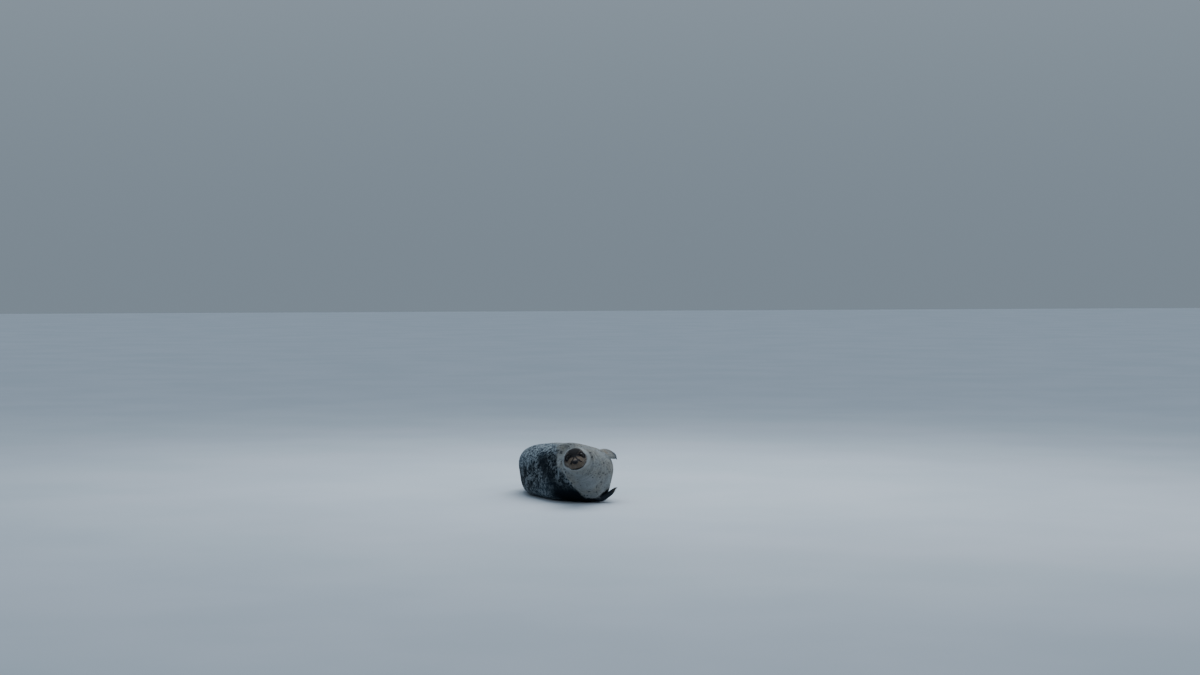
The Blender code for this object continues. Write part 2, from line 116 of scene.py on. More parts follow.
def slopes_of(at, values):
    """Slope at each landmark for a curve that doesn't overshoot between landmarks."""
    step = np.diff(at)[:, None]
    rise = np.diff(values, axis=0) / step
    slope = np.zeros_like(values)
    before, after = rise[:-1], rise[1:]
    w1, w2 = 2 * step[1:] + step[:-1], step[1:] + 2 * step[:-1]
    same_way = before * after > 0
    shared = w1 / np.where(same_way, before, 1) + w2 / np.where(same_way, after, 1)
    slope[1:-1] = np.where(same_way, (w1 + w2) / np.where(same_way, shared, 1), 0)
    slope[0], slope[-1] = rise[0], rise[-1]
    return slope


def curve_through(at, values, slope=None):
    """A function that runs smoothly through values at the given places."""
    at = np.asarray(at, float)
    values = np.asarray(values, float).reshape(len(at), -1)
    slope = slopes_of(at, values) if slope is None else slope

    def read(x):
        x = np.clip(np.atleast_1d(x), at[0], at[-1])
        i = np.clip(np.searchsorted(at, x, side="right") - 1, 0, len(at) - 2)
        h = (at[i + 1] - at[i])[:, None]
        t = (x - at[i])[:, None] / h
        return (
            (2 * t**3 - 3 * t**2 + 1) * values[i]
            + (t**3 - 2 * t**2 + t) * h * slope[i]
            + (3 * t**2 - 2 * t**3) * values[i + 1]
            + (t**3 - t**2) * h * slope[i + 1]
        )

    return read


def path_through(points):
    """A smooth path through points as a function of distance, with the distance of each point."""
    points = np.asarray(points, float)
    steps = np.linalg.norm(np.diff(points, axis=0), axis=1)
    at = np.concatenate([[0], np.cumsum(steps)])
    return curve_through(at, points, np.gradient(points, at, axis=0)), at


spine, landmark_at = path_through([row[0] for row in LANDMARKS.values()])
AT = dict(zip(LANDMARKS, landmark_at))
LENGTH = AT["rump_end"]
girth = curve_through(np.sqrt(landmark_at), [row[1:4] for row in LANDMARKS.values()])
roll = curve_through(landmark_at, [row[4] for row in LANDMARKS.values()])
print("length along the spine:", round(LENGTH, 3))

# %% [markdown]
# ## What stands out of the tube
#
# Whisker pads, chin, brow, eye sockets and the folds of the neck are soft humps on the tube. Each is a
# product of two bumps, one along the body and one round it. A hump that falls to exactly nothing at a named
# width stays local, so one can be changed without the rest. The finest marks of the face come later.

# %% Humps, and the surface itself
EYE_BEHIND_NOSE = 0.080
EYE_ANGLE = 50  # degrees from the top of the head, to either side
RELIEF = {  # height, place and reach along the body, angle and reach round it, where None is all round
    "whisker_pads": (0.0055, 0.030, 0.032, 112, 58),
    "chin": (0.0030, 0.028, 0.028, 180, 40),
    "bridge": (0.0020, 0.042, 0.042, 0, 40),
    "brow": (0.0045, AT["eyes"] + 0.004, 0.028, 32, 26),
    "eye_sockets": (-0.0045, EYE_BEHIND_NOSE - 0.004, 0.022, EYE_ANGLE + 3, 30),
    "nape_crease": (-0.0055, AT["nape"] + 0.006, 0.020, 0, None),
    "collar_fold": (0.0075, AT["collar"] - 0.008, 0.032, 0, None),
    "second_fold": (0.0055, AT["neck_root"] - 0.006, 0.038, 150, 100),
}
HALF_STEP = 0.004  # distance to each side over which the spine's direction is read
FULL_RELIEF_RADIUS = 0.020  # relief and coat thin out where the tube is narrower than this


def hump(x, centre, width):
    """1 at the centre, falling smoothly to nothing at the width."""
    t = np.clip(np.abs(x - centre) / width, 0, 1)
    return (1 - t * t) ** 2


def ease(x, start, end):
    """0 before the start and 1 after the end, with a smooth rise between."""
    t = np.clip((x - start) / (end - start), 0, 1)
    return t * t * (3 - 2 * t)


def relief(s, angle):
    """How far the surface stands out of the plain tube. The angle is 0 at the back and 180 at the belly."""
    side = np.abs((angle + 180) % 360 - 180)
    raised = 0
    for height, place, reach, middle, width in RELIEF.values():
        round_body = 1 if width is None else hump(side, middle, width)
        raised = raised + height * hump(s, place, reach) * round_body
    return raised


def frame_at(s):
    """Spine points with the unit vectors towards the tail, the back and the right side, at distances s."""
    s = np.atleast_1d(s)
    tail = unit(spine(s + HALF_STEP) - spine(s - HALF_STEP))
    up = unit(np.array([0, 0, 1.0]) - tail * tail[:, 2:3])
    level = np.cross(-tail, up)
    turn = np.radians(roll(s))
    return spine(s), tail, np.cos(turn) * up + np.sin(turn) * level, np.cos(turn) * level - np.sin(turn) * up


def settle(points, depth):
    """Flattens what sags below the floor onto it with a rounded edge, and keeps the coat's depth above it."""
    z = points[:, 2]
    curved = (z + SAG_ROUNDING) ** 2 / (4 * SAG_ROUNDING)
    flat = np.where(z <= -SAG_ROUNDING, 0, np.where(z < SAG_ROUNDING, curved, z))
    points[:, 2] = flat + depth * (1 - ease(flat, 0, 3 * SAG_ROUNDING))
    return points


def surface(s, angle, depth=0.0):
    """Points under the coat's outer surface by depth, one for each distance s and angle in degrees."""
    s, angle = np.broadcast_arrays(np.atleast_1d(s).astype(float), np.atleast_1d(angle).astype(float))
    here, _, back, right = frame_at(s)
    closing = np.clip((s - (LENGTH - END_ROUNDING)) / END_ROUNDING, 0, 1)
    size = girth(np.sqrt(s)) * np.sqrt(1 - closing**2)[:, None]
    turn = np.radians(angle)
    reach = np.where(np.cos(turn) > 0, size[:, 1], size[:, 2])
    fuller = 1 + SQUARER * ease(s, AT["collar"], AT["chest"]) * np.sin(2 * turn) ** 2
    high, wide = np.cos(turn) * reach * fuller, np.sin(turn) * size[:, 0] * fuller
    plain = np.hypot(high, wide)
    raised = (relief(s, angle) - depth) * np.minimum(1, plain / FULL_RELIEF_RADIUS)
    grown = 1 + raised / np.maximum(plain, TINY)
    points = here + (high * grown)[:, None] * back + (wide * grown)[:, None] * right
    return settle(points, depth)


# %% [markdown]
# ## How deep the coat is
#
# The solids reach to the tips of the hair. The skin lies inside them by the depth of the coat: a seal's hair
# is short and pressed flat, under a millimetre deep on the muzzle and about three on the trunk.

# %% Coat depth and hair length along the body
COAT = {  # depth of the coat, length of a hair
    "nose_tip": (0.0006, 0.0014),
    "whisker_pads": (0.0008, 0.0024),
    "eyes": (0.0011, 0.0032),
    "crown": (0.0018, 0.0050),
    "collar": (0.0026, 0.0070),
    "shoulders": (0.0032, 0.0085),
    "loins": (0.0032, 0.0085),
    "ankles": (0.0020, 0.0065),
    "rump_end": (0.0012, 0.0050),
}
coat_curve = curve_through([AT[name] for name in COAT], list(COAT.values()))


def coat_depth(s):
    return coat_curve(s)[:, 0]


print("coat depth on the chest:", round(float(coat_depth(AT["chest"])[0]), 4))

# %% [markdown]
# ## The skin's net
#
# The skin could be sculpted or remeshed from blocks, but the body has a rule, so a net of rings is laid on
# it. Rings are close on the face and wide on the trunk, where nothing is small. At the nose and at the rump
# the rings crowd by a square or a sine, which rounds the tip. Each corner keeps its distance along the body
# and the cosine and sine of its angle, so that a later subdivision can average them without a jump at the
# belly.

# %% A net with more rings where the form is finer
AROUND = 168
TIP_RINGS, END_RINGS = 14, 16
RING_SPACING = {"lips": 0.0011, "crown": 0.0022, "neck_root": 0.0050, "chest": 0.0085, "ankles": 0.0070}


def ring_places():
    spacing = curve_through([AT[name] for name in RING_SPACING], list(RING_SPACING.values()))
    places = list(AT["lips"] * (np.arange(1, TIP_RINGS + 1) / TIP_RINGS) ** 2)
    while places[-1] < LENGTH - END_ROUNDING:
        places.append(places[-1] + float(spacing(places[-1])[0, 0]))
    closing = np.sin((np.arange(END_RINGS) + 0.5) / END_RINGS * math.pi / 2)
    return np.array(places[:-1] + list(LENGTH - END_ROUNDING * (1 - closing)))


def body_net():
    """Distances and angles of the net's corners, and its faces. The last two corners are its poles."""
    places = ring_places()
    angles = np.arange(AROUND) * 360 / AROUND - 180
    s = np.append(np.repeat(places, AROUND), [0, LENGTH])
    angle = np.append(np.tile(angles, len(places)), [0, 0])
    first = np.arange(AROUND)
    beside = (first + 1) % AROUND
    faces = []
    for ring in range(len(places) - 1):
        a, b = ring * AROUND + first, ring * AROUND + beside
        faces += np.stack([a, b, b + AROUND, a + AROUND], axis=1).tolist()
    last = (len(places) - 1) * AROUND
    faces += [(beside[k], first[k], len(s) - 2) for k in range(AROUND)]
    faces += [(last + first[k], last + beside[k], len(s) - 1) for k in range(AROUND)]
    return s, angle, faces


net_s, net_angle, net_faces = body_net()
print("net:", len(net_s), "corners,", len(net_faces), "faces")

# %% [markdown]
# ## Finer faces where the face is fine
#
# Lids, lips and nostrils are a millimetre or two wide, so the net is subdivided there and nowhere else. The
# places come from the solids: the eyes and the nose are where the frame has them. The mouth is a plane that
# climbs a little towards its corner, the same one that parts the lower jaw.

# %% Where eyes, nose and mouth are
MOUTH_BELOW_AXIS, MOUTH_RISE, MOUTH_CORNER = 0.022, 7, 0.082
FINE_ROUND_EYE, FINE_ROUND_NOSE, FINE_BESIDE_MOUTH, FINE_BEHIND_MOUTH = 0.030, 0.036, 0.007, 0.012
MOUTH_END = MOUTH_CORNER + 0.02  # nothing of the mouth is behind this distance
NEAR, NEAR_TURN = 0.003, 3  # distance and degrees over which the way out of the surface is read


def centre_and_reach(node):
    low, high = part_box(node)
    return np.array((low + high) / 2), max(high - low) / 2


def outward(s, angle):
    """The direction straight out of the surface at one place."""
    ahead = surface(s + NEAR, angle)[0] - surface(s - NEAR, angle)[0]
    across = surface(s, angle + NEAR_TURN)[0] - surface(s, angle - NEAR_TURN)[0]
    out = unit(np.cross(ahead, across))
    return out * np.sign(out @ (surface(s, angle)[0] - spine(s)[0]))


EYES = {}
for side, name in ((-1, "eye_left"), (1, "eye_right")):
    centre, radius = centre_and_reach(name)
    gaze = outward(EYE_BEHIND_NOSE, side * EYE_ANGLE)
    EYES[name] = {"side": side, "centre": centre, "radius": radius, "gaze": gaze}
nose_middle, _ = centre_and_reach("nose")
_, pad_tail, pad_top, pad_right = (vectors[0] for vectors in frame_at(AT["whisker_pads"]))
rise = math.radians(MOUTH_RISE)
mouth_forward = -pad_tail * math.cos(rise) - pad_top * math.sin(rise)
mouth_up = np.cross(pad_right, mouth_forward)
mouth_up = mouth_up * np.sign(mouth_up @ pad_top)
mouth_corner = spine(MOUTH_CORNER)[0] - pad_top * MOUTH_BELOW_AXIS


def above_mouth(points):
    return (points - mouth_corner) @ mouth_up


def ahead_of_corner(points):
    return (points - mouth_corner) @ mouth_forward


def wants_fine(points, s):
    near = np.linalg.norm(points - nose_middle, axis=1) < FINE_ROUND_NOSE
    for eye in EYES.values():
        near |= np.linalg.norm(points - eye["centre"], axis=1) < FINE_ROUND_EYE
    beside_mouth = np.abs(above_mouth(points)) < FINE_BESIDE_MOUTH
    beside_mouth &= ahead_of_corner(points) > -FINE_BEHIND_MOUTH
    return near | beside_mouth & (s < MOUTH_END)


# %% Subdivide there, and read each corner's own place
def refined_net():
    """The net as a bmesh, finer on the face, with its corners' distances and angles."""
    work = bmesh.new()
    kept = [work.verts.layers.float.new(name) for name in ("along", "cosine", "sine")]
    turn = np.radians(net_angle)
    points = surface(net_s, net_angle, coat_depth(net_s))
    for point, *values in zip(points, net_s, np.cos(turn), np.sin(turn)):
        corner = work.verts.new(point)
        for layer, value in zip(kept, values):
            corner[layer] = value
    work.verts.ensure_lookup_table()
    for face in net_faces:
        work.faces.new([work.verts[i] for i in face])
    work.faces.ensure_lookup_table()
    middles = np.array([points[list(face)].mean(axis=0) for face in net_faces])
    along = np.array([net_s[list(face)].mean() for face in net_faces])
    chosen = np.flatnonzero(wants_fine(middles, along))
    edges = {edge for i in chosen for edge in work.faces[i].edges}
    bmesh.ops.subdivide_edges(work, edges=list(edges), cuts=1, use_grid_fill=True)
    work.normal_update()
    values = np.array([[corner[layer] for layer in kept] for corner in work.verts])
    return work, values[:, 0], np.degrees(np.arctan2(values[:, 2], values[:, 1]))


work, along, angle = refined_net()
base = surface(along, angle, coat_depth(along))
for corner, point in zip(work.verts, base):
    corner.co = point
work.normal_update()
normals = np.array([corner.normal for corner in work.verts])
if (normals * (base - spine(along))).sum() < 0:
    bmesh.ops.reverse_faces(work, faces=work.faces)
    normals = -normals
print("refined net:", len(base), "corners,", len(work.faces), "faces")

# %% [markdown]
# ## Marks of the face and folds of the skin
#
# Each mark is one stroke: it moves corners along their normals by a small amount that fades with distance.
# The mouth is a groove along its plane with a lip on each side. A groove runs down from the nose to it. Every
# whisker grows out of a low bump, in rows on the pads. Seals of this family have no outer ear, only a small
# hole behind each eye. The neck shows the soft folds of skin that let the head draw in.

# %% Strokes on the face
MOUTH_DEPTH, MOUTH_WIDTH, MOUTH_FADE = 0.0042, 0.0018, 0.006
MOUTH_ARCH, MOUTH_ARCH_REACH = 0.0035, 0.030  # how far the line dips near the corner, and over what length
LIP_HEIGHT, LIPS = 0.0010, ((0.0040, 0.0036), (-0.0042, 0.0040))  # height; place above the line and width
CLEFTS = ((0.0022, 0.0018), (0.0014, 0.0055))  # depth and width: a sharp groove within a soft one
CLEFT_FROM, CLEFT_TO = (0.000, 0.003), (-0.010, -0.004)  # above the mouth's line, below the nose
WHISKER_ROWS, WHISKER_COLUMNS = 5, 7
FIRST_COLUMN, COLUMN_SPAN, ROW_STAGGER = 0.013, 0.033, 0.002  # distances along the body
FIRST_ROW, ROW_STEP, ROW_CLIMB = 84, 13, 6  # degrees from the top of the head
FOLLICLE_HEIGHT, FOLLICLE_WIDTH = 0.0007, 0.0032
EAR_BEHIND_NOSE, EAR_ANGLE = 0.131, 80
EAR_DEPTH, EAR_WIDTH = 0.0030, 0.0050
EAR_RIM_HEIGHT, EAR_RIM_AT, EAR_RIM_WIDTH = 0.0010, 0.0065, 0.0045
PAD_GROOVES = ((0.0022, 0.058, 0.018, 105, 52), (0.0014, 0.030, 0.020, 62, 20))  # as in the table of relief


def ripple(points, scale, seed=0.0):
    """Smooth random numbers from -1 to 1 at points."""
    return np.array([noise.noise(Vector(point) * scale + Vector((seed, 0, 0))) for point in points])


def whisker_roots(side):
    """Distance and angle of each whisker's root on one pad, row by row, and its share from front to back."""
    for row in range(WHISKER_ROWS):
        for column in range(WHISKER_COLUMNS - abs(row - WHISKER_ROWS // 2)):
            share = column / (WHISKER_COLUMNS - 1)
            place = FIRST_COLUMN + COLUMN_SPAN * share + ROW_STAGGER * (row % 2)
            yield place, side * (FIRST_ROW + ROW_STEP * row - ROW_CLIMB * share), share


def mouth_stroke(points, s):
    above, ahead = above_mouth(points), ahead_of_corner(points)
    above = above + MOUTH_ARCH * hump(ahead, 0, MOUTH_ARCH_REACH)
    there = ease(ahead, -MOUTH_FADE, MOUTH_FADE) * (s < MOUTH_END)
    groove = -MOUTH_DEPTH * np.exp(-((above / MOUTH_WIDTH) ** 2))
    lips = LIP_HEIGHT * sum(hump(above, place, width) for place, width in LIPS)
    return (groove + lips) * there


def philtrum_stroke(points, s):
    off = points - nose_middle
    sideways = off @ pad_right
    between = ease(above_mouth(points), *CLEFT_FROM) * (1 - ease(off @ pad_top, *CLEFT_TO))
    cleft = -sum(depth * np.exp(-((sideways / width) ** 2)) for depth, width in CLEFTS)
    return cleft * between * (s < AT["whisker_pads"])


def follicle_stroke(points, s):
    near = np.flatnonzero(s < AT["muzzle_root"])
    raised = np.zeros(len(points))
    for side in (-1, 1):
        for root_s, root_angle, _ in whisker_roots(side):
            away = np.linalg.norm(points[near] - surface(root_s, root_angle)[0], axis=1)
            raised[near] += FOLLICLE_HEIGHT * hump(away, 0, FOLLICLE_WIDTH)
    return raised


def from_ear(points, side):
    """How far points are from the middle of one ear hole."""
    return np.linalg.norm(points - surface(EAR_BEHIND_NOSE, side * EAR_ANGLE)[0], axis=1)


def ear_stroke(points):
    moved = np.zeros(len(points))
    for side in (-1, 1):
        away = from_ear(points, side)
        rim = EAR_RIM_HEIGHT * hump(away, EAR_RIM_AT, EAR_RIM_WIDTH)
        moved += -EAR_DEPTH * hump(away, 0, EAR_WIDTH) + rim
    return moved


def muzzle_stroke(s, angle):
    """Grooves that part the whisker pads from the nose and from the cheeks."""
    side = np.abs(angle)
    moved = 0
    for depth, place, reach, middle, width in PAD_GROOVES:
        moved = moved - depth * hump(s, place, reach) * hump(side, middle, width)
    return moved


# %% Strokes on neck and trunk
NECK_FROM, NECK_TO = (0.150, 0.215), (0.34, 0.46)  # where the folds begin and where they have faded
LEAST_BUNCHED, UPPER_SIDE, THROAT, THROAT_REACH = 0.25, 0.8, 0.5, 70
WRINKLE_LENGTH, WRINKLE_HEIGHT, WRINKLE_SHARPNESS = 0.022, 0.0030, 0.5
WRINKLE_SWAY, SWAY_SCALE = 0.7, 4.0  # in wrinkles
WRINKLE_MEAN, WRINKLE_UNEVEN, UNEVEN_SCALE = 0.8, 0.6, 9.0
FLANK_CREASE, FLANK_CREASE_WIDTH, FLANK_DEPTH, CREASE_SHARE = 0.866, 0.026, 0.0065, 0.8
FLANK_ROLL_AHEAD, FLANK_ROLL_WIDTH, ROLL_SHARE = 0.036, 0.044, 0.30
FLANK_TOP, FLANK_FOOT, FLANK_WANDER, WANDER_SCALE = (10, 60), (-100, -60), 0.006, 6.0
FLANK_SHADE = 0.7
FAT_HEIGHT, FAT_SCALE = 0.0016, 6
OFF_FLOOR = (0.004, 0.030)  # heights over which strokes grow from nothing on the side that lies on the floor


def neck_waves(points, s, angle):
    """Folds across the neck, from -1 in a crease to 1, strongest on the upper side, where skin bunches up."""
    here = ease(s, *NECK_FROM) * (1 - ease(s, *NECK_TO))
    upper = np.sin(np.radians(-angle)) * UPPER_SIDE + THROAT * hump(np.abs(angle), 180, THROAT_REACH)
    bunched = LEAST_BUNCHED + (1 - LEAST_BUNCHED) * np.clip(upper, 0, 1)
    waves = np.sin(2 * math.pi * (s / WRINKLE_LENGTH + WRINKLE_SWAY * ripple(points, 7, SWAY_SCALE)))
    return here * bunched * waves * (WRINKLE_MEAN + WRINKLE_UNEVEN * ripple(points, 12, UNEVEN_SCALE))


def neck_stroke(points, s, angle):
    waves = neck_waves(points, s, angle)
    return WRINKLE_HEIGHT * (waves - WRINKLE_SHARPNESS * np.abs(waves))


def flank_wave(points, s, angle):
    """One crease across the back behind the ribs, where the body bends, and the roll in front of it."""
    here = (1 - ease(angle, *FLANK_TOP)) * ease(angle, *FLANK_FOOT)
    bent = s + FLANK_WANDER * ripple(points, 5, WANDER_SCALE)
    roll_ahead = ROLL_SHARE * hump(bent, FLANK_CREASE - FLANK_ROLL_AHEAD, FLANK_ROLL_WIDTH)
    return here * (roll_ahead - CREASE_SHARE * hump(bent, FLANK_CREASE, FLANK_CREASE_WIDTH))


# The folds' waves that set the coat's colour: creases get hair parting and painted shade, and rolls get
# painted light.
def fold_shading(s, angle, points):
    return neck_waves(points, s, angle) + FLANK_SHADE * flank_wave(points, s, angle)


def fat_stroke(points, s):
    return FAT_HEIGHT * ripple(points, FAT_SCALE, 2.0) * ease(s, AT["collar"], AT["chest"])


moved = mouth_stroke(base, along) + philtrum_stroke(base, along) + follicle_stroke(base, along)
moved += ear_stroke(base) + neck_stroke(base, along, angle) + fat_stroke(base, along)
moved += FLANK_DEPTH * flank_wave(base, along, angle) + muzzle_stroke(along, angle)
moved *= ease(base[:, 2], *OFF_FLOOR)
skin_points = base + normals * moved[:, None]
print("deepest and highest stroke:", round(moved.min(), 4), round(moved.max(), 4))

# %% [markdown]
# ## Lids
#
# A seal's eye is a large ball that stands out between two thin lids. Corners near the eye are drawn onto a
# sphere just outside the ball, more the nearer they are to the opening, so lids wrap it and melt into the
# brow. Corners inside the opening sink behind the ball, which closes the socket without a hole in the skin.

# %% Draw the lids over the balls
OPENING_LONG, OPENING_HIGH, OPENING_POINTED = 0.0154, 0.0115, 0.18
LID_THICKNESS, LID_START, LID_WIDTH, LID_REACH = 0.0013, 0.0015, 0.0105, 0.014
LID_CREASE, CREASE_AT, CREASE_WIDTH = 0.0007, 0.0042, 0.0016
SOCKET_DEPTH = 0.0030
LEVEL_TOWARDS_NOSE = 0.45  # how far the opening's long side turns from across the face to along it

for eye in EYES.values():
    _, tail, top, right = (vectors[0] for vectors in frame_at(EYE_BEHIND_NOSE))
    sideways = right * eye["side"] * (1 - LEVEL_TOWARDS_NOSE) + tail * LEVEL_TOWARDS_NOSE
    eye["long"] = unit(sideways - eye["gaze"] * (sideways @ eye["gaze"]))
    eye["high"] = np.cross(eye["gaze"], eye["long"])
    eye["high"] = eye["high"] * np.sign(eye["high"] @ top)


def narrowing(x):
    """How high the opening is at a place from -1 to 1 along it, against an ellipse: less towards the nose."""
    return 1 - OPENING_POINTED * np.clip(-x, 0, 1) ** 2


def opening_share(eye, points):
    """0 at the middle of the eye's opening, 1 on its edge."""
    off = points - eye["centre"]
    x, y = off @ eye["long"] / OPENING_LONG, off @ eye["high"] / OPENING_HIGH
    return np.sqrt(x**2 + (y / narrowing(x)) ** 2)


def from_opening(eye, points):
    """Distance from the edge of the eye's opening, less than nothing inside it."""
    return (opening_share(eye, points) - 1) * OPENING_HIGH


def with_lids(points):
    for eye in EYES.values():
        off = points - eye["centre"]
        away = np.linalg.norm(off, axis=1)
        near = (away < eye["radius"] + LID_REACH) & (off @ eye["gaze"] > 0)
        beyond = from_opening(eye, points)
        lid = eye["radius"] + LID_THICKNESS - LID_CREASE * hump(beyond, CREASE_AT, CREASE_WIDTH)
        drawn = 1 - ease(beyond, LID_START, LID_WIDTH)
        out = np.where(beyond < 0, eye["radius"] - SOCKET_DEPTH, away + (lid - away) * drawn)
        points = np.where(near[:, None], eye["centre"] + off / away[:, None] * out[:, None], points)
    return points


skin_points = with_lids(skin_points)
for corner, point in zip(work.verts, skin_points):
    corner.co = point
ball_radius = round(float(EYES["eye_left"]["radius"]), 4)
print("eye openings:", OPENING_LONG * 2, "by", OPENING_HIGH * 2, "on balls of radius", ball_radius)

# %% [markdown]
# ## Nose
#
# A seal's nose pad is bare and wet, broad above and narrow below, with two slanting slits that open only to
# breathe. It could be cut out of the skin, but a pad of its own takes its own material. A disc of rings is
# cast onto the muzzle, raised in the middle, sunk at its edge, and carved along the slits.

# %% A pad cast onto the muzzle
PAD_WIDE, PAD_HIGH, PAD_BROADER_ABOVE = 0.0195, 0.0130, 0.20
PAD_RINGS, PAD_SIDES = 40, 112
PAD_PROUD, PAD_EDGE_SINK, PAD_EDGE_FROM, PAD_BACK = 0.0011, 0.0006, 0.80, 0.0110
PAD_TIPPED_UP = 0.45  # how far the pad faces upward for 1 forward
SLIT = ((0.0052, -0.0062), (0.0076, -0.0012), (0.0120, 0.0026), (0.0168, 0.0030))
SLIT_DEPTH, SLIT_WIDTH = 0.0055, 0.0019
SLIT_LIP, SLIT_LIP_AT, SLIT_LIP_WIDTH = 0.0008, 0.0030, 0.0024
GROOVE_DEPTH, GROOVE_WIDTH, GROOVE_FROM = 0.0012, 0.0011, (-0.004, 0.006)  # down the middle of the pad
SINK_UNDER_PAD, SINK_EDGE = SLIT_DEPTH + 0.0030, (0.62, 0.84)  # how far the skin sinks, and at what shares
CAST_FROM = 0.06  # how far in front of the nose the pad is cast from

pad_facing = unit(-pad_tail + PAD_TIPPED_UP * pad_top)
pad_up = unit(pad_top + PAD_TIPPED_UP * pad_tail)


def on_pad(points):
    """Sideways and upward places of points on the pad's face, and their share of its outline."""
    off = points - nose_middle
    x, y = off @ pad_right, off @ pad_up
    turn = np.arctan2(y / PAD_HIGH, x / PAD_WIDE)
    edge = PAD_WIDE * (1 + PAD_BROADER_ABOVE * np.sin(turn))
    return x, y, np.hypot(x / edge, y / PAD_HIGH)


def rings_between(first, rings, sides, closed=False):
    """Faces between rings of so many corners each, one after the other from the first corner."""
    faces = []
    for ring in range(rings if closed else rings - 1):
        here, after = first + ring * sides, first + (ring + 1) % rings * sides
        for k in range(sides):
            beside = (k + 1) % sides
            faces.append((here + k, after + k, after + beside, here + beside))
    return faces


def fan(tip, first, sides):
    """Triangles from a tip to a ring of corners."""
    return [(tip, first + k, first + (k + 1) % sides) for k in range(sides)]


def distance_to_line(x, y, line):
    nearest = np.full(len(x), np.inf)
    for (x0, y0), (x1, y1) in zip(line, line[1:]):
        step = np.array([x1 - x0, y1 - y0])
        t = np.clip(((x - x0) * step[0] + (y - y0) * step[1]) / (step @ step), 0, 1)
        nearest = np.minimum(nearest, np.hypot(x - x0 - t * step[0], y - y0 - t * step[1]))
    return nearest


work.normal_update()
muzzle_tree = BVHTree.FromBMesh(work)
radius = np.append(np.repeat((np.arange(PAD_RINGS) + 1) / PAD_RINGS, PAD_SIDES), 0)
turn = np.append(np.tile(np.arange(PAD_SIDES) * 2 * math.pi / PAD_SIDES, PAD_RINGS), 0)
pad_x = np.cos(turn) * radius * PAD_WIDE * (1 + PAD_BROADER_ABOVE * np.sin(turn))
pad_y = np.sin(turn) * radius * PAD_HIGH
starts = nose_middle + np.outer(pad_x, pad_right) + np.outer(pad_y, pad_up) + pad_facing * CAST_FROM
hits = [muzzle_tree.ray_cast(Vector(start), Vector(-pad_facing)) for start in starts]
pad_points = np.array([hit[0] for hit in hits])
pad_normals = np.array([hit[1] for hit in hits])
slit_away = distance_to_line(np.abs(pad_x), pad_y, SLIT)
between = np.exp(-((pad_x / GROOVE_WIDTH) ** 2)) * ease(-pad_y, *GROOVE_FROM)
lift = PAD_PROUD - (PAD_PROUD + PAD_EDGE_SINK) * ease(radius, PAD_EDGE_FROM, 1.0)
lift += SLIT_LIP * hump(slit_away, SLIT_LIP_AT, SLIT_LIP_WIDTH)
carve = SLIT_DEPTH * np.exp(-((slit_away / SLIT_WIDTH) ** 2)) + GROOVE_DEPTH * between
pad_points += pad_normals * lift[:, None] - pad_facing * carve[:, None]
back = pad_points[-1] - pad_facing * PAD_BACK
pad_faces = rings_between(0, PAD_RINGS, PAD_SIDES)
pad_faces += fan(len(pad_points) - 1, 0, PAD_SIDES)
pad_faces += fan(len(pad_points), (PAD_RINGS - 1) * PAD_SIDES, PAD_SIDES)
pad_points = np.vstack([pad_points, back])

_, _, share = on_pad(skin_points)
near_nose = np.linalg.norm(skin_points - nose_middle, axis=1) < FINE_ROUND_NOSE
sink = near_nose * (1 - ease(share, *SINK_EDGE)) * SINK_UNDER_PAD
skin_points = skin_points - sink[:, None] * pad_facing
for corner, point in zip(work.verts, skin_points):
    corner.co = point
print("nose pad:", len(pad_faces), "faces; skin under it sinks", round(float(sink.max()), 4))

# %% [markdown]
# ## Flippers and tail
#
# A flipper is a paddle over five digits, with a thin web between them whose edge falls back between the tips.
# One rule makes all four and the tail: a middle line, a direction across, half sizes along it, and a wave
# across it that raises the digits. They are made fine here and reach as far as their solids, less the coat.

# %% Paddles
DIGITS = 5
FORE_PROFILE = (  # share of the length, half of the width, half of the thickness
    (0, 0.042, 0.025), (0.3, 0.043, 0.020), (0.6, 0.042, 0.013), (0.85, 0.039, 0.009), (1, 0.034, 0.006)
)
HIND_PROFILE = (
    (0, 0.032, 0.028), (0.25, 0.034, 0.025), (0.5, 0.044, 0.015), (0.8, 0.070, 0.009), (1, 0.087, 0.005)
)
TAIL_PROFILE = ((0, 0.021, 0.014), (0.4, 0.020, 0.012), (0.8, 0.016, 0.009), (1, 0.009, 0.005))
FORE_DIGITS = (1.00, 1.00, 0.96, 0.90, 0.83)  # how far each digit reaches, as a share of the length
HIND_DIGITS = (1.00, 0.88, 0.80, 0.87, 0.98)
FORE_CLAW, HIND_CLAW = 0.023, 0.014
FORE_FLIPPER = {"profile": FORE_PROFILE, "digits": FORE_DIGITS, "claw": FORE_CLAW}
HIND_FLIPPER = {"profile": HIND_PROFILE, "digits": HIND_DIGITS, "claw": HIND_CLAW}
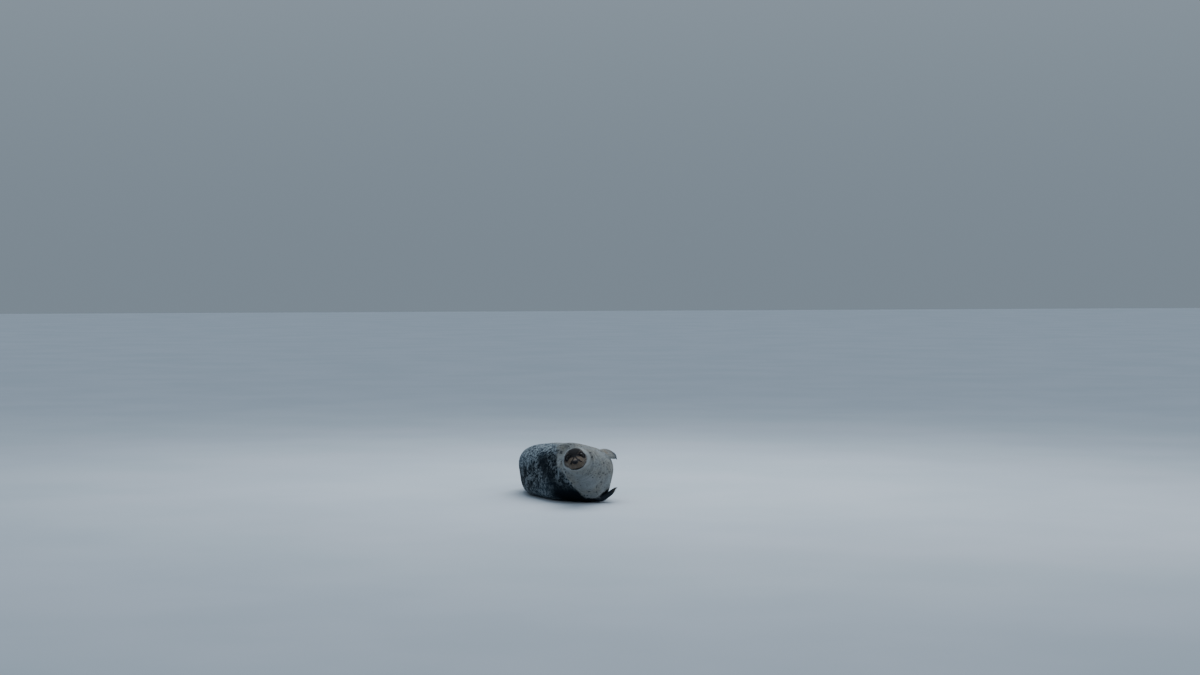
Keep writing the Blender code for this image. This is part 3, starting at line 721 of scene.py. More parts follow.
LIMBS = {  # the middle line, the direction across, how dark the coat is from 0 to 1, and the sizes
    "fore_flipper_left": {
        "path": ((0.068, -0.462, 0.262), (0.128, -0.427, 0.282),
                 (0.190, -0.384, 0.285), (0.247, -0.341, 0.264)),
        "across": (0.38, -0.68, -0.62), "dark": 0.10, **FORE_FLIPPER,
    },
    # The lower fore flipper is darker than the upper one: partly its own dark coat, and partly painted shade
    # where it lies near the floor.
    "fore_flipper_right": {
        "path": ((0.054, -0.471, 0.043), (0.106, -0.476, 0.025),
                 (0.156, -0.480, 0.046), (0.200, -0.484, 0.080)),
        "across": (0.05, -0.98, 0.10), "dark": 0.90, **FORE_FLIPPER,
    },
    "hind_flipper_left": {
        "path": ((-0.023, 0.521, 0.106), (-0.007, 0.588, 0.103),
                 (0.016, 0.692, 0.086), (0.034, 0.802, 0.059)),
        "across": (-0.99, 0.0, 0.12), "dark": 0.62, **HIND_FLIPPER,
    },
    "hind_flipper_right": {
        "path": ((-0.023, 0.521, 0.032), (-0.004, 0.588, 0.025),
                 (0.029, 0.692, 0.013), (0.063, 0.792, 0.008)),
        "across": (-0.99, 0.0, -0.02), "dark": 0.62, **HIND_FLIPPER,
    },
    "tail": {
        "path": ((-0.038, 0.521, 0.071), (-0.054, 0.574, 0.071),
                 (-0.061, 0.621, 0.068), (-0.064, 0.659, 0.066)),
        "across": (0.05, 0.0, 1.0), "dark": 0.80, "profile": TAIL_PROFILE,
    },
}
# The lower fore flipper turns dark sooner from its root, as painted shade where it meets the body.
SHADED_AT_ROOT, COLOURED_AS_TRUNK = "fore_flipper_right", "tail"  # the rest take their colour on from the join
LIMB_NUMBER = {name: number for number, name in enumerate(LIMBS, start=1)}  # 0 is the trunk
NOTCH, DIGIT_RIDGE, RIDGE_GROWS, EDGE_THICKNESS = 0.05, 0.28, (0.2, 0.65), 0.3
RIDGE_SHARPNESS, RIDGE_LEVEL = 1.6, 0.45
THINNEST = 0.0006
LIMB_RINGS, LIMB_COLUMNS = 40, 31
LIMB_SHARES = np.linspace(0, 1, LIMB_RINGS) ** 0.9  # rings are a little closer at the tip
LIMB_STEP = 0.002  # distance to each side over which a middle line's direction is read
LIMB_COAT = 0.0009  # depth of the coat on a limb


def paddle_frame(limb):
    """A limb's length, and a function of the share of it: place, ways ahead, across and out, half sizes."""
    middle, at = path_through(limb["path"])
    sizes = curve_through([row[0] for row in limb["profile"]], [row[1:] for row in limb["profile"]])

    def read(share):
        share = np.atleast_1d(share)
        place = share * at[-1]
        ahead = unit(middle(place + LIMB_STEP) - middle(place - LIMB_STEP))
        across = np.array(limb["across"])
        across = unit(across - ahead * (ahead @ across)[:, None])
        return middle(place), ahead, across, np.cross(ahead, across), sizes(share)

    return read, at[-1]


def digit_places(count):
    return (np.arange(count) + 0.5) / count * 2 - 1


def paddle_side(limb, across, side):
    """Points on one face of a limb, side 1 or -1: a row for each ring, a column for each place across."""
    read, length = paddle_frame(limb)
    rows = []
    for share in LIMB_SHARES:
        reach, ridge = np.ones_like(across), np.zeros_like(across)
        if "digits" in limb:
            reach = curve_through(digit_places(DIGITS), np.array(limb["digits"])[:, None])(across)[:, 0]
            wave = (1 - np.cos(np.radians((across + 1) / 2 * DIGITS * 360))) / 2
            reach = reach - NOTCH * (1 - wave) * share**6
            ridge = DIGIT_RIDGE * (wave**RIDGE_SHARPNESS - RIDGE_LEVEL) * ease(share, *RIDGE_GROWS)
        here, _, wide, face, size = read(share * (reach - LIMB_COAT / length))
        bulge = EDGE_THICKNESS + (1 - EDGE_THICKNESS) * np.sqrt(1 - np.abs(across) ** 3)
        thick = np.maximum(size[:, 1] * bulge * (1 + ridge) - LIMB_COAT, THINNEST)
        half_width = size[:, 0] - LIMB_COAT
        rows.append(here + wide * (across * half_width)[:, None] + face * (side * thick)[:, None])
    return np.array(rows)


def limb_net(limb):
    """Points and faces of a closed limb, and its unwrap: place across, once over and once back, and share."""
    across = np.sin(np.linspace(-1, 1, LIMB_COLUMNS) * math.pi / 2)
    over, under = (paddle_side(limb, across, side) for side in (1, -1))
    rings = np.concatenate([over, under[:, ::-1]], axis=1)
    around = rings.shape[1]
    points = settle(rings.reshape(-1, 3), LIMB_COAT)
    faces, maps = [], []
    for row in range(LIMB_RINGS - 1):
        for k in range(around):
            a, b = row * around + k, row * around + (k + 1) % around
            faces.append((a, b, b + around, a + around))
            places = (k, row), (k + 1, row), (k + 1, row + 1), (k, row + 1)
            maps.append([(x / around, LIMB_SHARES[y]) for x, y in places])
    for start, share in ((0, 0.0), ((LIMB_RINGS - 1) * around, 1.0)):
        for k in range(LIMB_COLUMNS - 1):
            face = (start + k, start + k + 1, start + around - 2 - k, start + around - 1 - k)
            faces.append(face)
            maps.append([((corner - start) / around, share) for corner in face])
    return points, faces, maps


for name, limb in LIMBS.items():
    _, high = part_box(name)
    points, _, _ = limb_net(limb)
    off_solid = np.abs(points.max(axis=0) - np.array(high)).max()
    print(name, "ends within", round(float(off_solid), 4), "of its solid's end")

# %% [markdown]
# ## One skin
#
# The limbs could stay separate tubes pushed into the trunk, but a hard line would show at every armpit. So
# they are joined with exact Boolean unions, and the corners near each join are then relaxed towards their
# neighbours, which rounds the join as muscle and fat do. The tip of the nose is relaxed with them, because
# the net's rings meet there. Every face carries its place on an unwrap of the body, angle by distance, with
# the face at a larger scale and the limbs in a strip of their own.

# %% Unwrap of the body and the limbs
MAP_NAME = "OFBake"
BODY_STRIP = 0.86  # share of the map's height that the body has
HEAD_SHARE = 0.30  # share of that for the head
STRIP_GAP = 0.02  # empty share of a limb's place in the strip, on each side
POLE_REACH = 1e-6
map_height = curve_through([0, AT["nape"], LENGTH], [[0], [HEAD_SHARE], [1]])


def place_on_map(s, angle):
    return np.stack([angle / 360 + 0.5, BODY_STRIP * map_height(s)[:, 0]], axis=-1)


def write_body_map(work, s, angle):
    layer = work.loops.layers.uv.new(MAP_NAME)
    pole = (s < POLE_REACH) | (s > LENGTH - POLE_REACH)
    for face in work.faces:
        ids = [corner.index for corner in face.verts]
        turn = angle[ids].copy()
        if np.ptp(turn) > 180:
            turn[turn < 0] += 360
        if pole[ids].any():
            turn[pole[ids]] = turn[~pole[ids]].mean()
        for loop, place in zip(face.loops, place_on_map(s[ids], turn)):
            loop[layer].uv = place


def mesh_object(name, mesh):
    made = bpy.data.objects.new(name, mesh)
    bpy.context.scene.collection.objects.link(made)
    return made


def limb_object(name, number):
    """A limb as an object whose faces carry its number and its place on the map."""
    points, faces, maps = limb_net(LIMBS[name])
    limb = bmesh.new()
    corners = [limb.verts.new(point) for point in points]
    layer = limb.loops.layers.uv.new(MAP_NAME)
    mark = limb.faces.layers.int.new("limb")
    for ids, places in zip(faces, maps):
        face = limb.faces.new([corners[i] for i in ids])
        face[mark] = number
        for loop, (x, y) in zip(face.loops, places):
            place = number - 1 + STRIP_GAP + (1 - 2 * STRIP_GAP) * x
            loop[layer].uv = (place / len(LIMBS), BODY_STRIP + (1 - BODY_STRIP) * y)
    bmesh.ops.recalc_face_normals(limb, faces=limb.faces)
    mesh = bpy.data.meshes.new(name)
    limb.to_mesh(mesh)
    limb.free()
    return mesh_object(name + "_fine", mesh)


work.verts.index_update()
write_body_map(work, along, angle)
work.faces.layers.int.new("limb")
skin_mesh = bpy.data.meshes.new("skin")
work.to_mesh(skin_mesh)
work.free()
skin = mesh_object("skin", skin_mesh)


def union(target, tool):
    """Joins the tool into the target at once and removes the tool."""
    join = target.modifiers.new("join", "BOOLEAN")
    join.operation, join.solver, join.object = "UNION", "EXACT", tool
    graph = bpy.context.evaluated_depsgraph_get()
    mesh = bpy.data.meshes.new_from_object(target.evaluated_get(graph), depsgraph=graph)
    target.modifiers.remove(join)
    target.data = mesh
    bpy.data.objects.remove(tool)


for name, number in LIMB_NUMBER.items():
    union(skin, limb_object(name, number))
print("skin with limbs:", len(skin.data.vertices), "corners,", len(skin.data.polygons), "faces")

# %% Relax the joins and the tip of the nose
JOIN_REACH, TIP_REACH = 0.022, 0.0050
JOIN_FULL, TIP_FULL = JOIN_REACH / 4, 0.0020  # nearer than this a corner is relaxed in full
RELAX_ROUNDS, RELAX_STEP = 40, 0.6


def read_all(items, field, kind=float, size=1):
    """One field of every item of a mesh, as an array."""
    values = np.empty(len(items) * size, kind)
    items.foreach_get(field, values)
    return values if size == 1 else values.reshape(-1, size)


def mesh_arrays(mesh):
    return read_all(mesh.vertices, "co", size=3), read_all(mesh.edges, "vertices", int, 2)


def join_corners(mesh):
    """Corners on edges between a face of the trunk and a face of a limb."""
    marks = read_all(mesh.attributes["limb"].data, "value", int)
    low, high = np.full(len(mesh.edges), len(LIMBS)), np.zeros(len(mesh.edges), int)
    for polygon, mark in zip(mesh.polygons, marks):
        ids = [mesh.loops[i].edge_index for i in polygon.loop_indices]
        low[ids] = np.minimum(low[ids], mark)
        high[ids] = np.maximum(high[ids], mark)
    _, edges = mesh_arrays(mesh)
    return np.unique(edges[low != high])


def neighbour_mean(values, edges):
    total, count = np.zeros_like(values), np.zeros((len(values), 1))
    for a, b in (edges.T, edges.T[::-1]):
        np.add.at(total, a, values[b])
        np.add.at(count, a, 1)
    return total / np.maximum(count, 1)


def tree_of(points):
    tree = KDTree(len(points))
    for i, point in enumerate(points):
        tree.insert(point, i)
    tree.balance()
    return tree


points, edges = mesh_arrays(skin.data)
joins = join_corners(skin.data)
join_tree = tree_of(points[joins])
from_join = np.array([join_tree.find(point)[2] for point in points])
from_tip = np.linalg.norm(points - spine(0.0), axis=1)
weight = 1 - np.minimum(ease(from_join, JOIN_FULL, JOIN_REACH), ease(from_tip, TIP_FULL, TIP_REACH))
weight = weight[:, None]
for _ in range(RELAX_ROUNDS):
    points += weight * RELAX_STEP * (neighbour_mean(points, edges) - points)
skin.data.vertices.foreach_set("co", points.ravel())
skin.data.update()
print("corners on joins:", len(joins), "relaxed near them:", int((weight > 0).sum()))

# %% [markdown]
# ## What every corner of the skin knows
#
# Markings, hair and bump all follow the body, so each corner carries a few numbers: its place along and round
# the body, which way its hair lies, how long and how dense it is, and distances to the borders of the dark
# mantle and of the face. Images could hold them, but numbers on corners need no unwrap and stay sharp.

# %% Places and the lie of the hair
LIE_STEP, COMB_ROUNDS, COMB_STEP = 0.002, 12, 0.7


def on_limbs(mesh):
    """Number of the limb that each corner belongs to, 0 for the trunk."""
    marks = read_all(mesh.attributes["limb"].data, "value", int)
    corners = read_all(mesh.loops, "vertex_index", int)
    owner = np.zeros(len(mesh.vertices), int)
    np.maximum.at(owner, corners, np.repeat(marks, read_all(mesh.polygons, "loop_total", int)))
    return owner


points, edges = mesh_arrays(skin.data)
owner = on_limbs(skin.data)
trunk = np.flatnonzero(owner == 0)
s, cosine, sine = (read_all(skin.data.attributes[name].data, "value") for name in ("along", "cosine", "sine"))
angle = np.degrees(np.arctan2(sine, cosine))
trunk_tree = tree_of(points[trunk])
limb_share = np.zeros(len(points))
lie = np.zeros((len(points), 3))
lie[trunk] = unit(surface(s[trunk] + LIE_STEP, angle[trunk]) - surface(s[trunk] - LIE_STEP, angle[trunk]))
for i in np.flatnonzero(owner):
    nearest = trunk[trunk_tree.find(points[i])[1]]
    s[i], angle[i] = s[nearest], angle[nearest]
for name, number in LIMB_NUMBER.items():
    mine = np.flatnonzero(owner == number)
    net, _, _ = limb_net(LIMBS[name])
    tree = tree_of(net)
    rows = np.array([tree.find(points[i])[1] // (2 * LIMB_COLUMNS) for i in mine])
    limb_share[mine] = LIMB_SHARES[rows]
    read, _ = paddle_frame(LIMBS[name])
    lie[mine] = read(limb_share[mine])[1]
for _ in range(COMB_ROUNDS):
    lie = lie + COMB_STEP * (unit(neighbour_mean(lie, edges)) - lie)
normals = read_all(skin.data.vertex_normals, "vector", size=3)
lie = unit(lie - normals * (lie * normals).sum(axis=1)[:, None])
print("corners on limbs:", int((owner > 0).sum()))

# %% [markdown]
# ## Borders of the markings
#
# The dark mantle lies like a saddle from the shoulders to the tail, and its border is a distance along the
# body for a few angles and an angle for a few distances. Round the lower fore flipper's root it is widened
# over painted shade. The dark lines of the face are drawn from place to place on the skin, with painted shade
# beside the nose and on the whisker pads among them. All are kept as signed distances in metres, so that the
# material can fray them.

# %% The mantle's border
MANTLE_FRONT = ((-180, 0.60), (-90, 0.66), (-60, 0.56), (-29, 0.449), (6, 0.388), (55, 0.294), (98, 0.246),
                (111, 0.284), (130, 0.36), (180, 0.60))  # angle, distance along the body
MANTLE_LEFT = ((0.30, -14), (0.40, -32), (0.48, -36), (0.58, -54), (0.75, -76), (0.90, -86), (1.20, -90),
               (1.47, -95))  # distance along the body, angle
MANTLE_RIGHT = ((0.25, 112), (0.30, 120), (0.40, 127), (0.60, 117), (0.90, 106), (1.20, 100), (1.47, 100))
# Round the lower fore flipper's root and under it, painted shade where the flipper meets the body.
ARMPIT, ARMPIT_REACH = ((0.425, 150), (0.450, 157), (0.470, 161)), 0.030
UNDER_FLIPPER, UNDER_REACH = ((0.385, 112), (0.415, 128), (0.438, 144)), 0.019
FRAY, FRAY_ABOVE, FRAY_ARMPIT = 0.012, 0.070, 0.016  # everywhere, more on the upper side, more at the armpit
ABOVE, BEHIND_NECK = (-10, 40), (0.30, 0.45)  # angles and distances over which the upper side begins
RIDGE = ((0.30, 10), (0.40, -2), (0.60, -12), (0.76, 2), (0.83, 12), (1.10, 6))  # the back's darkest line
# The upper side turns grey sooner from the ridge, as painted light from above, and the lower side by the
# shoulders stays black longer, as painted shade.
UPPER_SIDE_LIGHT, SHADED_SHOULDER_SHARE, SHOULDER = 1.6, 0.30, (0.36, 0.52)


def along_table(table, at):
    return np.interp(at, [row[0] for row in table], [row[1] for row in table])


def beside(line, reach):
    """How far every corner is inside a band on both sides of a line from place to place on the skin."""
    places = np.array([surface(place, turn, coat_depth(place))[0] for place, turn in line])
    nearest = np.full(len(points), np.inf)
    for a, b in zip(places, places[1:]):
        t = np.clip((points - a) @ (b - a) / ((b - a) @ (b - a)), 0, 1)
        nearest = np.minimum(nearest, np.linalg.norm(points - a - t[:, None] * (b - a), axis=1))
    return reach - nearest


round_body = np.linalg.norm(points - spine(s), axis=1)
in_front = s - along_table(MANTLE_FRONT, angle)
off_left = np.radians(angle - along_table(MANTLE_LEFT, s)) * round_body
off_right = np.radians(along_table(MANTLE_RIGHT, s) - angle) * round_body
mantle = np.minimum(np.minimum(in_front, off_left), off_right)
# The mantle's dark is widened over the painted shade by the lower fore flipper.
shade_by_flipper = np.maximum(beside(ARMPIT, ARMPIT_REACH), beside(UNDER_FLIPPER, UNDER_REACH))
mantle = np.maximum(mantle, shade_by_flipper)
fray = FRAY + FRAY_ABOVE * ease(-angle, *ABOVE) * ease(s, *BEHIND_NECK)
fray += FRAY_ARMPIT * ease(shade_by_flipper, -ARMPIT_REACH, 0)
# Painted light greys the upper side sooner, and painted shade keeps the lower side by the shoulders black.
ridge_off = angle - along_table(RIDGE, s)
lower_side_light = SHADED_SHOULDER_SHARE + (1 - SHADED_SHOULDER_SHARE) * ease(s, *SHOULDER)
ridge_off = np.where(ridge_off < 0, -ridge_off * UPPER_SIDE_LIGHT, ridge_off * lower_side_light)
print("share of corners in the mantle:", round(float((mantle > 0).mean()), 2))

# %% The face and its lines
MASK_BACK = ((-180, 0.036), (-158, 0.040), (-137, 0.064), (-118, 0.086), (-94, 0.099), (-73, 0.104),
             (-50, 0.104), (-32, 0.132), (-12, 0.166), (14, 0.172), (45, 0.128), (67, 0.117), (85, 0.117),
             (107, 0.116), (126, 0.092), (150, 0.050), (180, 0.036))  # angle, distance along the body
CHIN_BELOW_MOUTH = 0.0065
EYE_BAND = ((0.095, 62), (0.084, 48), (0.069, 28), (0.061, 0), (0.066, -28), (0.084, -48), (0.094, -60))
FOREHEAD = ((0.082, 0), (0.104, 13), (0.122, 0), (0.104, -14), (0.082, 0), (0.140, 6))
# Beside the nose and on the whisker pads the dark is painted shade, in the grooves between nose and pads.
SHADE_BESIDE_NOSE = ((0.060, 2), (0.036, 12), (0.019, 30), (0.013, 52), (0.018, 76))  # on one side
SHADE_ON_PADS = ((0.021, 38), (0.014, 60))
EYE_BAND_REACH, FOREHEAD_REACH, SHADE_BESIDE_NOSE_REACH, SHADE_ON_PADS_REACH = 0.0125, 0.0225, 0.0048, 0.0075
EYE_PATCH_AT, EYE_PATCH_REACH = (0.085, 53), 0.0235
LIP_REACH, LIP_PAST_CORNER = 0.0048, 0.008

dark_lines = np.maximum(beside(EYE_BAND, EYE_BAND_REACH), beside(FOREHEAD, FOREHEAD_REACH))
for side in (-1, 1):
    for line, reach in ((SHADE_BESIDE_NOSE, SHADE_BESIDE_NOSE_REACH), (SHADE_ON_PADS, SHADE_ON_PADS_REACH)):
        dark_lines = np.maximum(dark_lines, beside([(place, side * turn) for place, turn in line], reach))
    patch_middle = surface(EYE_PATCH_AT[0], side * EYE_PATCH_AT[1])[0]
    dark_lines = np.maximum(dark_lines, EYE_PATCH_REACH - np.linalg.norm(points - patch_middle, axis=1))
above, ahead = above_mouth(points), ahead_of_corner(points)
dark_lines = np.maximum(dark_lines, np.minimum(LIP_REACH - np.abs(above), ahead + LIP_PAST_CORNER))
mask = along_table(MASK_BACK, angle) - s
mask = np.minimum(mask, above + CHIN_BELOW_MOUTH + np.maximum(-ahead, 0))
print("share of corners in the face:", round(float((mask > 0).mean()), 2))

# %% Hair length, density and bare skin
LIMB_HAIR, TIP_HAIR = 0.0055, 0.0030
REGIONS = ("head", "neck", "chest", "belly", "loins", "rump", "limbs")
REGION_ENDS = (AT["nape"], 0.355, 0.59, 0.83, 1.09)
LID_BARE, PAD_BARE, LIP_BARE, EAR_BARE = (0.0003, 0.0016), (0.95, 1.04), (0.0014, 0.0032), (0.0016, 0.0030)
LIP_BARE_PAST_CORNER, LIP_BARE_END = 0.004, MOUTH_CORNER + 0.01
THIN_WHERE_BARE, THIN_AT_TIPS, THIN_ROUND_PAD = (0.1, 0.5), (0.93, 1.0), (1.04, 1.16)

hair = coat_curve(s)[:, 1]
hair = np.where(owner > 0, LIMB_HAIR + (TIP_HAIR - LIMB_HAIR) * limb_share, hair)
bare = np.zeros(len(points))
for eye in EYES.values():
    in_front_of_eye = (points - eye["centre"]) @ eye["gaze"] > 0
    bare = np.maximum(bare, in_front_of_eye * (1 - ease(from_opening(eye, points), *LID_BARE)))
_, _, share = on_pad(points)
near_pad = np.linalg.norm(points - nose_middle, axis=1) < FINE_ROUND_NOSE
bare = np.maximum(bare, near_pad * (1 - ease(share, *PAD_BARE)))
lip = (1 - ease(np.abs(above), *LIP_BARE)) * (ahead > -LIP_BARE_PAST_CORNER)
bare = np.maximum(bare, lip * (s < LIP_BARE_END) * (owner == 0))
for side in (-1, 1):
    bare = np.maximum(bare, 1 - ease(from_ear(points, side), *EAR_BARE))
cover = (1 - ease(bare, *THIN_WHERE_BARE)) * (1 - ease(limb_share, *THIN_AT_TIPS))
cover = cover * np.where(near_pad, ease(share, *THIN_ROUND_PAD), 1)  # no hair in the fold round the nose pad
region = np.searchsorted(REGION_ENDS, s)
region[owner > 0] = REGIONS.index("limbs")
print("hair from", round(hair.min(), 4), "to", round(hair.max(), 4), "bare corners:", int((bare > 0.5).sum()))

# %% Write it all on the skin
LOW_HEIGHT, LOW_ANGLE, LOW_ALONG = (0.075, 0.135), (20, 60), (0.46, 0.66)  # painted shade on the flank near the floor
ARMPIT_SHADE, ARMPIT_EDGE = 0.8, (-0.01, 0.01)
QUIET_AT, QUIET_REACH, QUIET_END = 150, 75, (0.48, 0.62)  # the breast has fewer specks
COMB_RADIUS = 0.11
ROOT_SHADE_LEAD = 0.025  # how much sooner than the others the lower flipper turns dark: painted shade at its root


def write_attribute(mesh, name, kind, values, domain="POINT"):
    field = {"FLOAT": "value", "INT": "value", "FLOAT_VECTOR": "vector", "FLOAT2": "vector"}[kind]
    layer = mesh.attributes.get(name) or mesh.attributes.new(name, kind, domain)
    layer.data.foreach_set(field, np.ascontiguousarray(values, dtype=int if kind == "INT" else float).ravel())


# fold carries the waves that give creases parting and painted shade, and rolls painted light, in the coat's
# colour.
fold = fold_shading(s, angle, points) * (owner == 0)
# Low on the front of the flank and by the lower flipper's root, painted shade keeps the coat black.
low_side = (1 - ease(points[:, 2], *LOW_HEIGHT)) * ease(angle, *LOW_ANGLE) * (1 - ease(s, *LOW_ALONG))
low_side = np.maximum(low_side, ARMPIT_SHADE * ease(shade_by_flipper, *ARMPIT_EDGE))
quiet = np.maximum(hump(angle, QUIET_AT, QUIET_REACH), hump(angle + 360, QUIET_AT, QUIET_REACH))
quiet = quiet * (1 - ease(s, *QUIET_END))
turn = np.radians(angle)
combed = np.stack([np.cos(turn) * COMB_RADIUS, s, np.sin(turn) * COMB_RADIUS], axis=-1)
onto_limb = np.where((owner > 0) & (owner != LIMB_NUMBER[COLOURED_AS_TRUNK]), from_join, 0)
onto_limb += ROOT_SHADE_LEAD * (owner == LIMB_NUMBER[SHADED_AT_ROOT])
limb_dark = np.array([0.0, *(limb["dark"] for limb in LIMBS.values())])[owner]
for name, values in {"root": points, "lie": lie, "combed": combed}.items():
    write_attribute(skin.data, name, "FLOAT_VECTOR", values)
for name, values in {
    "along": s, "mantle": mantle, "fray": fray, "ridge_off": ridge_off, "low_side": low_side, "quiet": quiet,
    "fold": fold, "mask": mask, "dark_lines": dark_lines, "limb_share": limb_share, "limb_dark": limb_dark,
    "onto_limb": onto_limb, "hair": hair, "bare": bare, "cover": cover,
}.items():
    write_attribute(skin.data, name, "FLOAT", values)
starts = read_all(skin.data.polygons, "loop_start", int)
corners = read_all(skin.data.loops, "vertex_index", int)
face_region = region[corners[starts]]
write_attribute(skin.data, "region", "INT", face_region, "FACE")
for name in ("cosine", "sine"):
    skin.data.attributes.remove(skin.data.attributes[name])
skin.data.shade_smooth()
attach(skin, "root")
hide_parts("head", "lower_jaw", "neck", "chest", "belly", "rump", *LIMBS)
print("numbers on each corner:", len(skin.data.attributes))


# %% [markdown]
# ## Materials
#
# Skin and tufts carry the same markings because one tree reads the same numbers from both: every tuft keeps
# those of its root. Patterns are noise and Voronoi cells read at the root's place, so they need no image.
# A small class makes the maths readable: it wraps a socket, and arithmetic on it adds the Math nodes.

# %% A socket that can be calculated with
def new_node(tree, kind, settings, inputs):
    """Adds a node to a tree: its settings first, then its inputs, each a value or a socket."""
    node = tree.nodes.new(kind)
    for name, value in settings.items():
        setattr(node, name, value)
    for name, value in inputs.items():
        if isinstance(value, bpy.types.NodeSocket):
            tree.links.new(value, node.inputs[name])
        else:
            node.inputs[name].default_value = value
    return node


class Wire:
    """A socket of a node tree, on which arithmetic adds nodes."""

    def __init__(self, tree, socket=None):
        self.tree, self.socket = tree, socket

    def add(self, kind, settings, inputs, output=0):
        """Adds a node whose inputs are values or wires, and gives the wire from one of its outputs."""
        sockets = {name: getattr(value, "socket", value) for name, value in inputs.items()}
        return Wire(self.tree, new_node(self.tree, kind, settings, sockets).outputs[output])

    def math(self, operation, *values):
        return self.add("ShaderNodeMath", {"operation": operation}, dict(enumerate(values)))

    def __add__(self, other):
        return self.math("ADD", self, other)

    def __sub__(self, other):
        return self.math("SUBTRACT", self, other)

    def __rsub__(self, other):
        return self.math("SUBTRACT", other, self)

    def __mul__(self, other):
        return self.math("MULTIPLY", self, other)

    def ramp(self, low, high, start=0.0, end=1.0):
        """A smooth step from start to end while this value goes from low to high."""
        inputs = {"Value": self, "From Min": low, "From Max": high, "To Min": start, "To Max": end}
        return self.add("ShaderNodeMapRange", {"interpolation_type": "SMOOTHSTEP"}, inputs)

    def noise(self, scale, detail=2.0, roughness=0.5):
        inputs = {"Vector": self, "Scale": scale, "Detail": detail, "Roughness": roughness}
        return self.add("ShaderNodeTexNoise", {}, inputs)

    def cells(self, scale, feature="F1"):
        return self.add("ShaderNodeTexVoronoi", {"feature": feature}, {"Vector": self, "Scale": scale})

    def moved(self, by):
        return self.add("ShaderNodeVectorMath", {"operation": "ADD"}, {0: self, 1: by})

    def scaled(self, by):
        return self.add("ShaderNodeVectorMath", {"operation": "MULTIPLY"}, {0: self, 1: by})

    def attribute(self, name, output="Fac"):
        return self.add("ShaderNodeAttribute", {"attribute_name": name}, {}, output)

    def mix(self, factor, low, high):
        """The colour or wire low where factor is 0, high where it is 1."""
        settings = {"data_type": "RGBA", "clamp_factor": True}
        return self.add("ShaderNodeMix", settings, {0: factor, 6: low, 7: high}, 2)


def new_material(name, roughness, **constants):
    """A material, its first wire and a function that links wires into its Principled shader."""
    made = bpy.data.materials.new(name)
    made.use_nodes = True
    shader = made.node_tree.nodes["Principled BSDF"]
    for key, value in {"Roughness": roughness, **constants}.items():
        shader.inputs[key.replace("_", " ")].default_value = value

    def link(**wires):
        for key, wire in wires.items():
            made.node_tree.links.new(wire.socket, shader.inputs[key.replace("_", " ")])

    return made, Wire(made.node_tree), link


def bump(wire, height, distance, strength=1.0):
    return wire.add("ShaderNodeBump", {}, {"Height": height, "Distance": distance, "Strength": strength}, 0)


# %% [markdown]
# The mantle is nearly black along the middle of the back and breaks up into pale nets, rings and flecks to
# the sides. The belly is pale, with dark specks. Face and flippers have colours of their own. Shade is
# painted into the coat low on the flank, by the lower fore flipper, beside the nose and in the creases of
# neck and flank, and light is painted on the upper side and on the rolls of the folds.

# %% Colours of the coat
PALE = (0.270, 0.290, 0.295, 1)
PALE_WARM = (0.280, 0.270, 0.238, 1)
PALE_CLOUD = (0.165, 0.185, 0.198, 1)
PALEST = (0.360, 0.385, 0.395, 1)
SPECK = (0.055, 0.062, 0.070, 1)
BLACK_BACK = (0.003, 0.007, 0.012, 1)
GREY_BACK = (0.036, 0.056, 0.078, 1)
NET = (0.330, 0.385, 0.420, 1)
MUZZLE_BROWN = (0.102, 0.078, 0.060, 1)
CHIN_PALE = (0.190, 0.168, 0.148, 1)
FOREHEAD_GREY = (0.020, 0.020, 0.025, 1)
FACE_DARK = (0.005, 0.005, 0.007, 1)
FLIPPER_TAN = (0.250, 0.212, 0.165, 1)
FLIPPER_GREY = (0.080, 0.095, 0.112, 1)
FLIPPER_DARK = (0.020, 0.026, 0.034, 1)
# A fold's crease is darkened by hair parting and painted shade, and its roll is lightened by painted light.
PARTING_AND_SHADE_IN_A_FOLD, LIGHT_ON_A_FOLD = (0.10, 0.11, 0.12, 1), (0.50, 0.50, 0.48, 1)
BETWEEN_HAIRS = (0.010, 0.012, 0.015, 1)
BARE_SKIN = (0.012, 0.011, 0.012, 1)

# %% Patterns and borders of the markings
PATTERNS = {  # cells to a metre, and a shift that keeps one pattern from lining up with the next
    "specks": (46, (0.3, 0.1, 0.7)),
    "faint_specks": (70, (0.6, 0.5, 0.1)),
    "net": (34, (0.9, 0.4, 0.2)),
    "rings": (33, (0.1, 0.7, 0.4)),
    "salt": (66, (0.2, 0.8, 0.5)),
}
BROAD, MIDDLING, FINE = 9, 36, 110  # waves to a metre
RING_RADIUS = 0.34  # as a share of a cell
ROUGHER = 0.6  # roughness of the middling and the fine noise
SIDE_FROM_RIDGE = (16, 64)  # degrees
NET_EDGE, NET_WOBBLE, NET_STRENGTH = (0.05, 0.14), 0.18, 0.85
RING_EDGE, RING_WOBBLE, SALT_EDGE = (0.05, 0.13), 0.30, (0.51, 0.58)
CROWD, CROWD_AT_SIDE = (0.05, 0.60), 0.55  # share of the back that the marks take, more at the sides
SPECKS_FROM, SPECK_SIZE, SPECK_FRAY = (0.10, 0.22), (0.14, 0.30), 0.20
NEAR_MANTLE, LARGER_NEAR_MANTLE, SMALLER_IN_QUIET = (-0.12, 0.0), 0.10, 0.09
BOLD_EDGE, BOLD_SMALLER, BOLD_STRENGTH = (-0.05, 0.03), 0.06, (0.55, 0.95)
FAINT_EDGE, FAINT_STRENGTH = (-0.05, 0.05), 0.45
BY_MANTLE, BY_MANTLE_PALER = (-0.045, -0.012), 0.4
BY_FACE, BY_FACE_PALER = (-0.075, -0.030), 0.55
CLOUDS, CLOUDS_STRENGTH, CHIN_CLOUDS, CHIN_STRENGTH = (0.30, 0.75), 0.55, (0.45, 0.75), 0.45
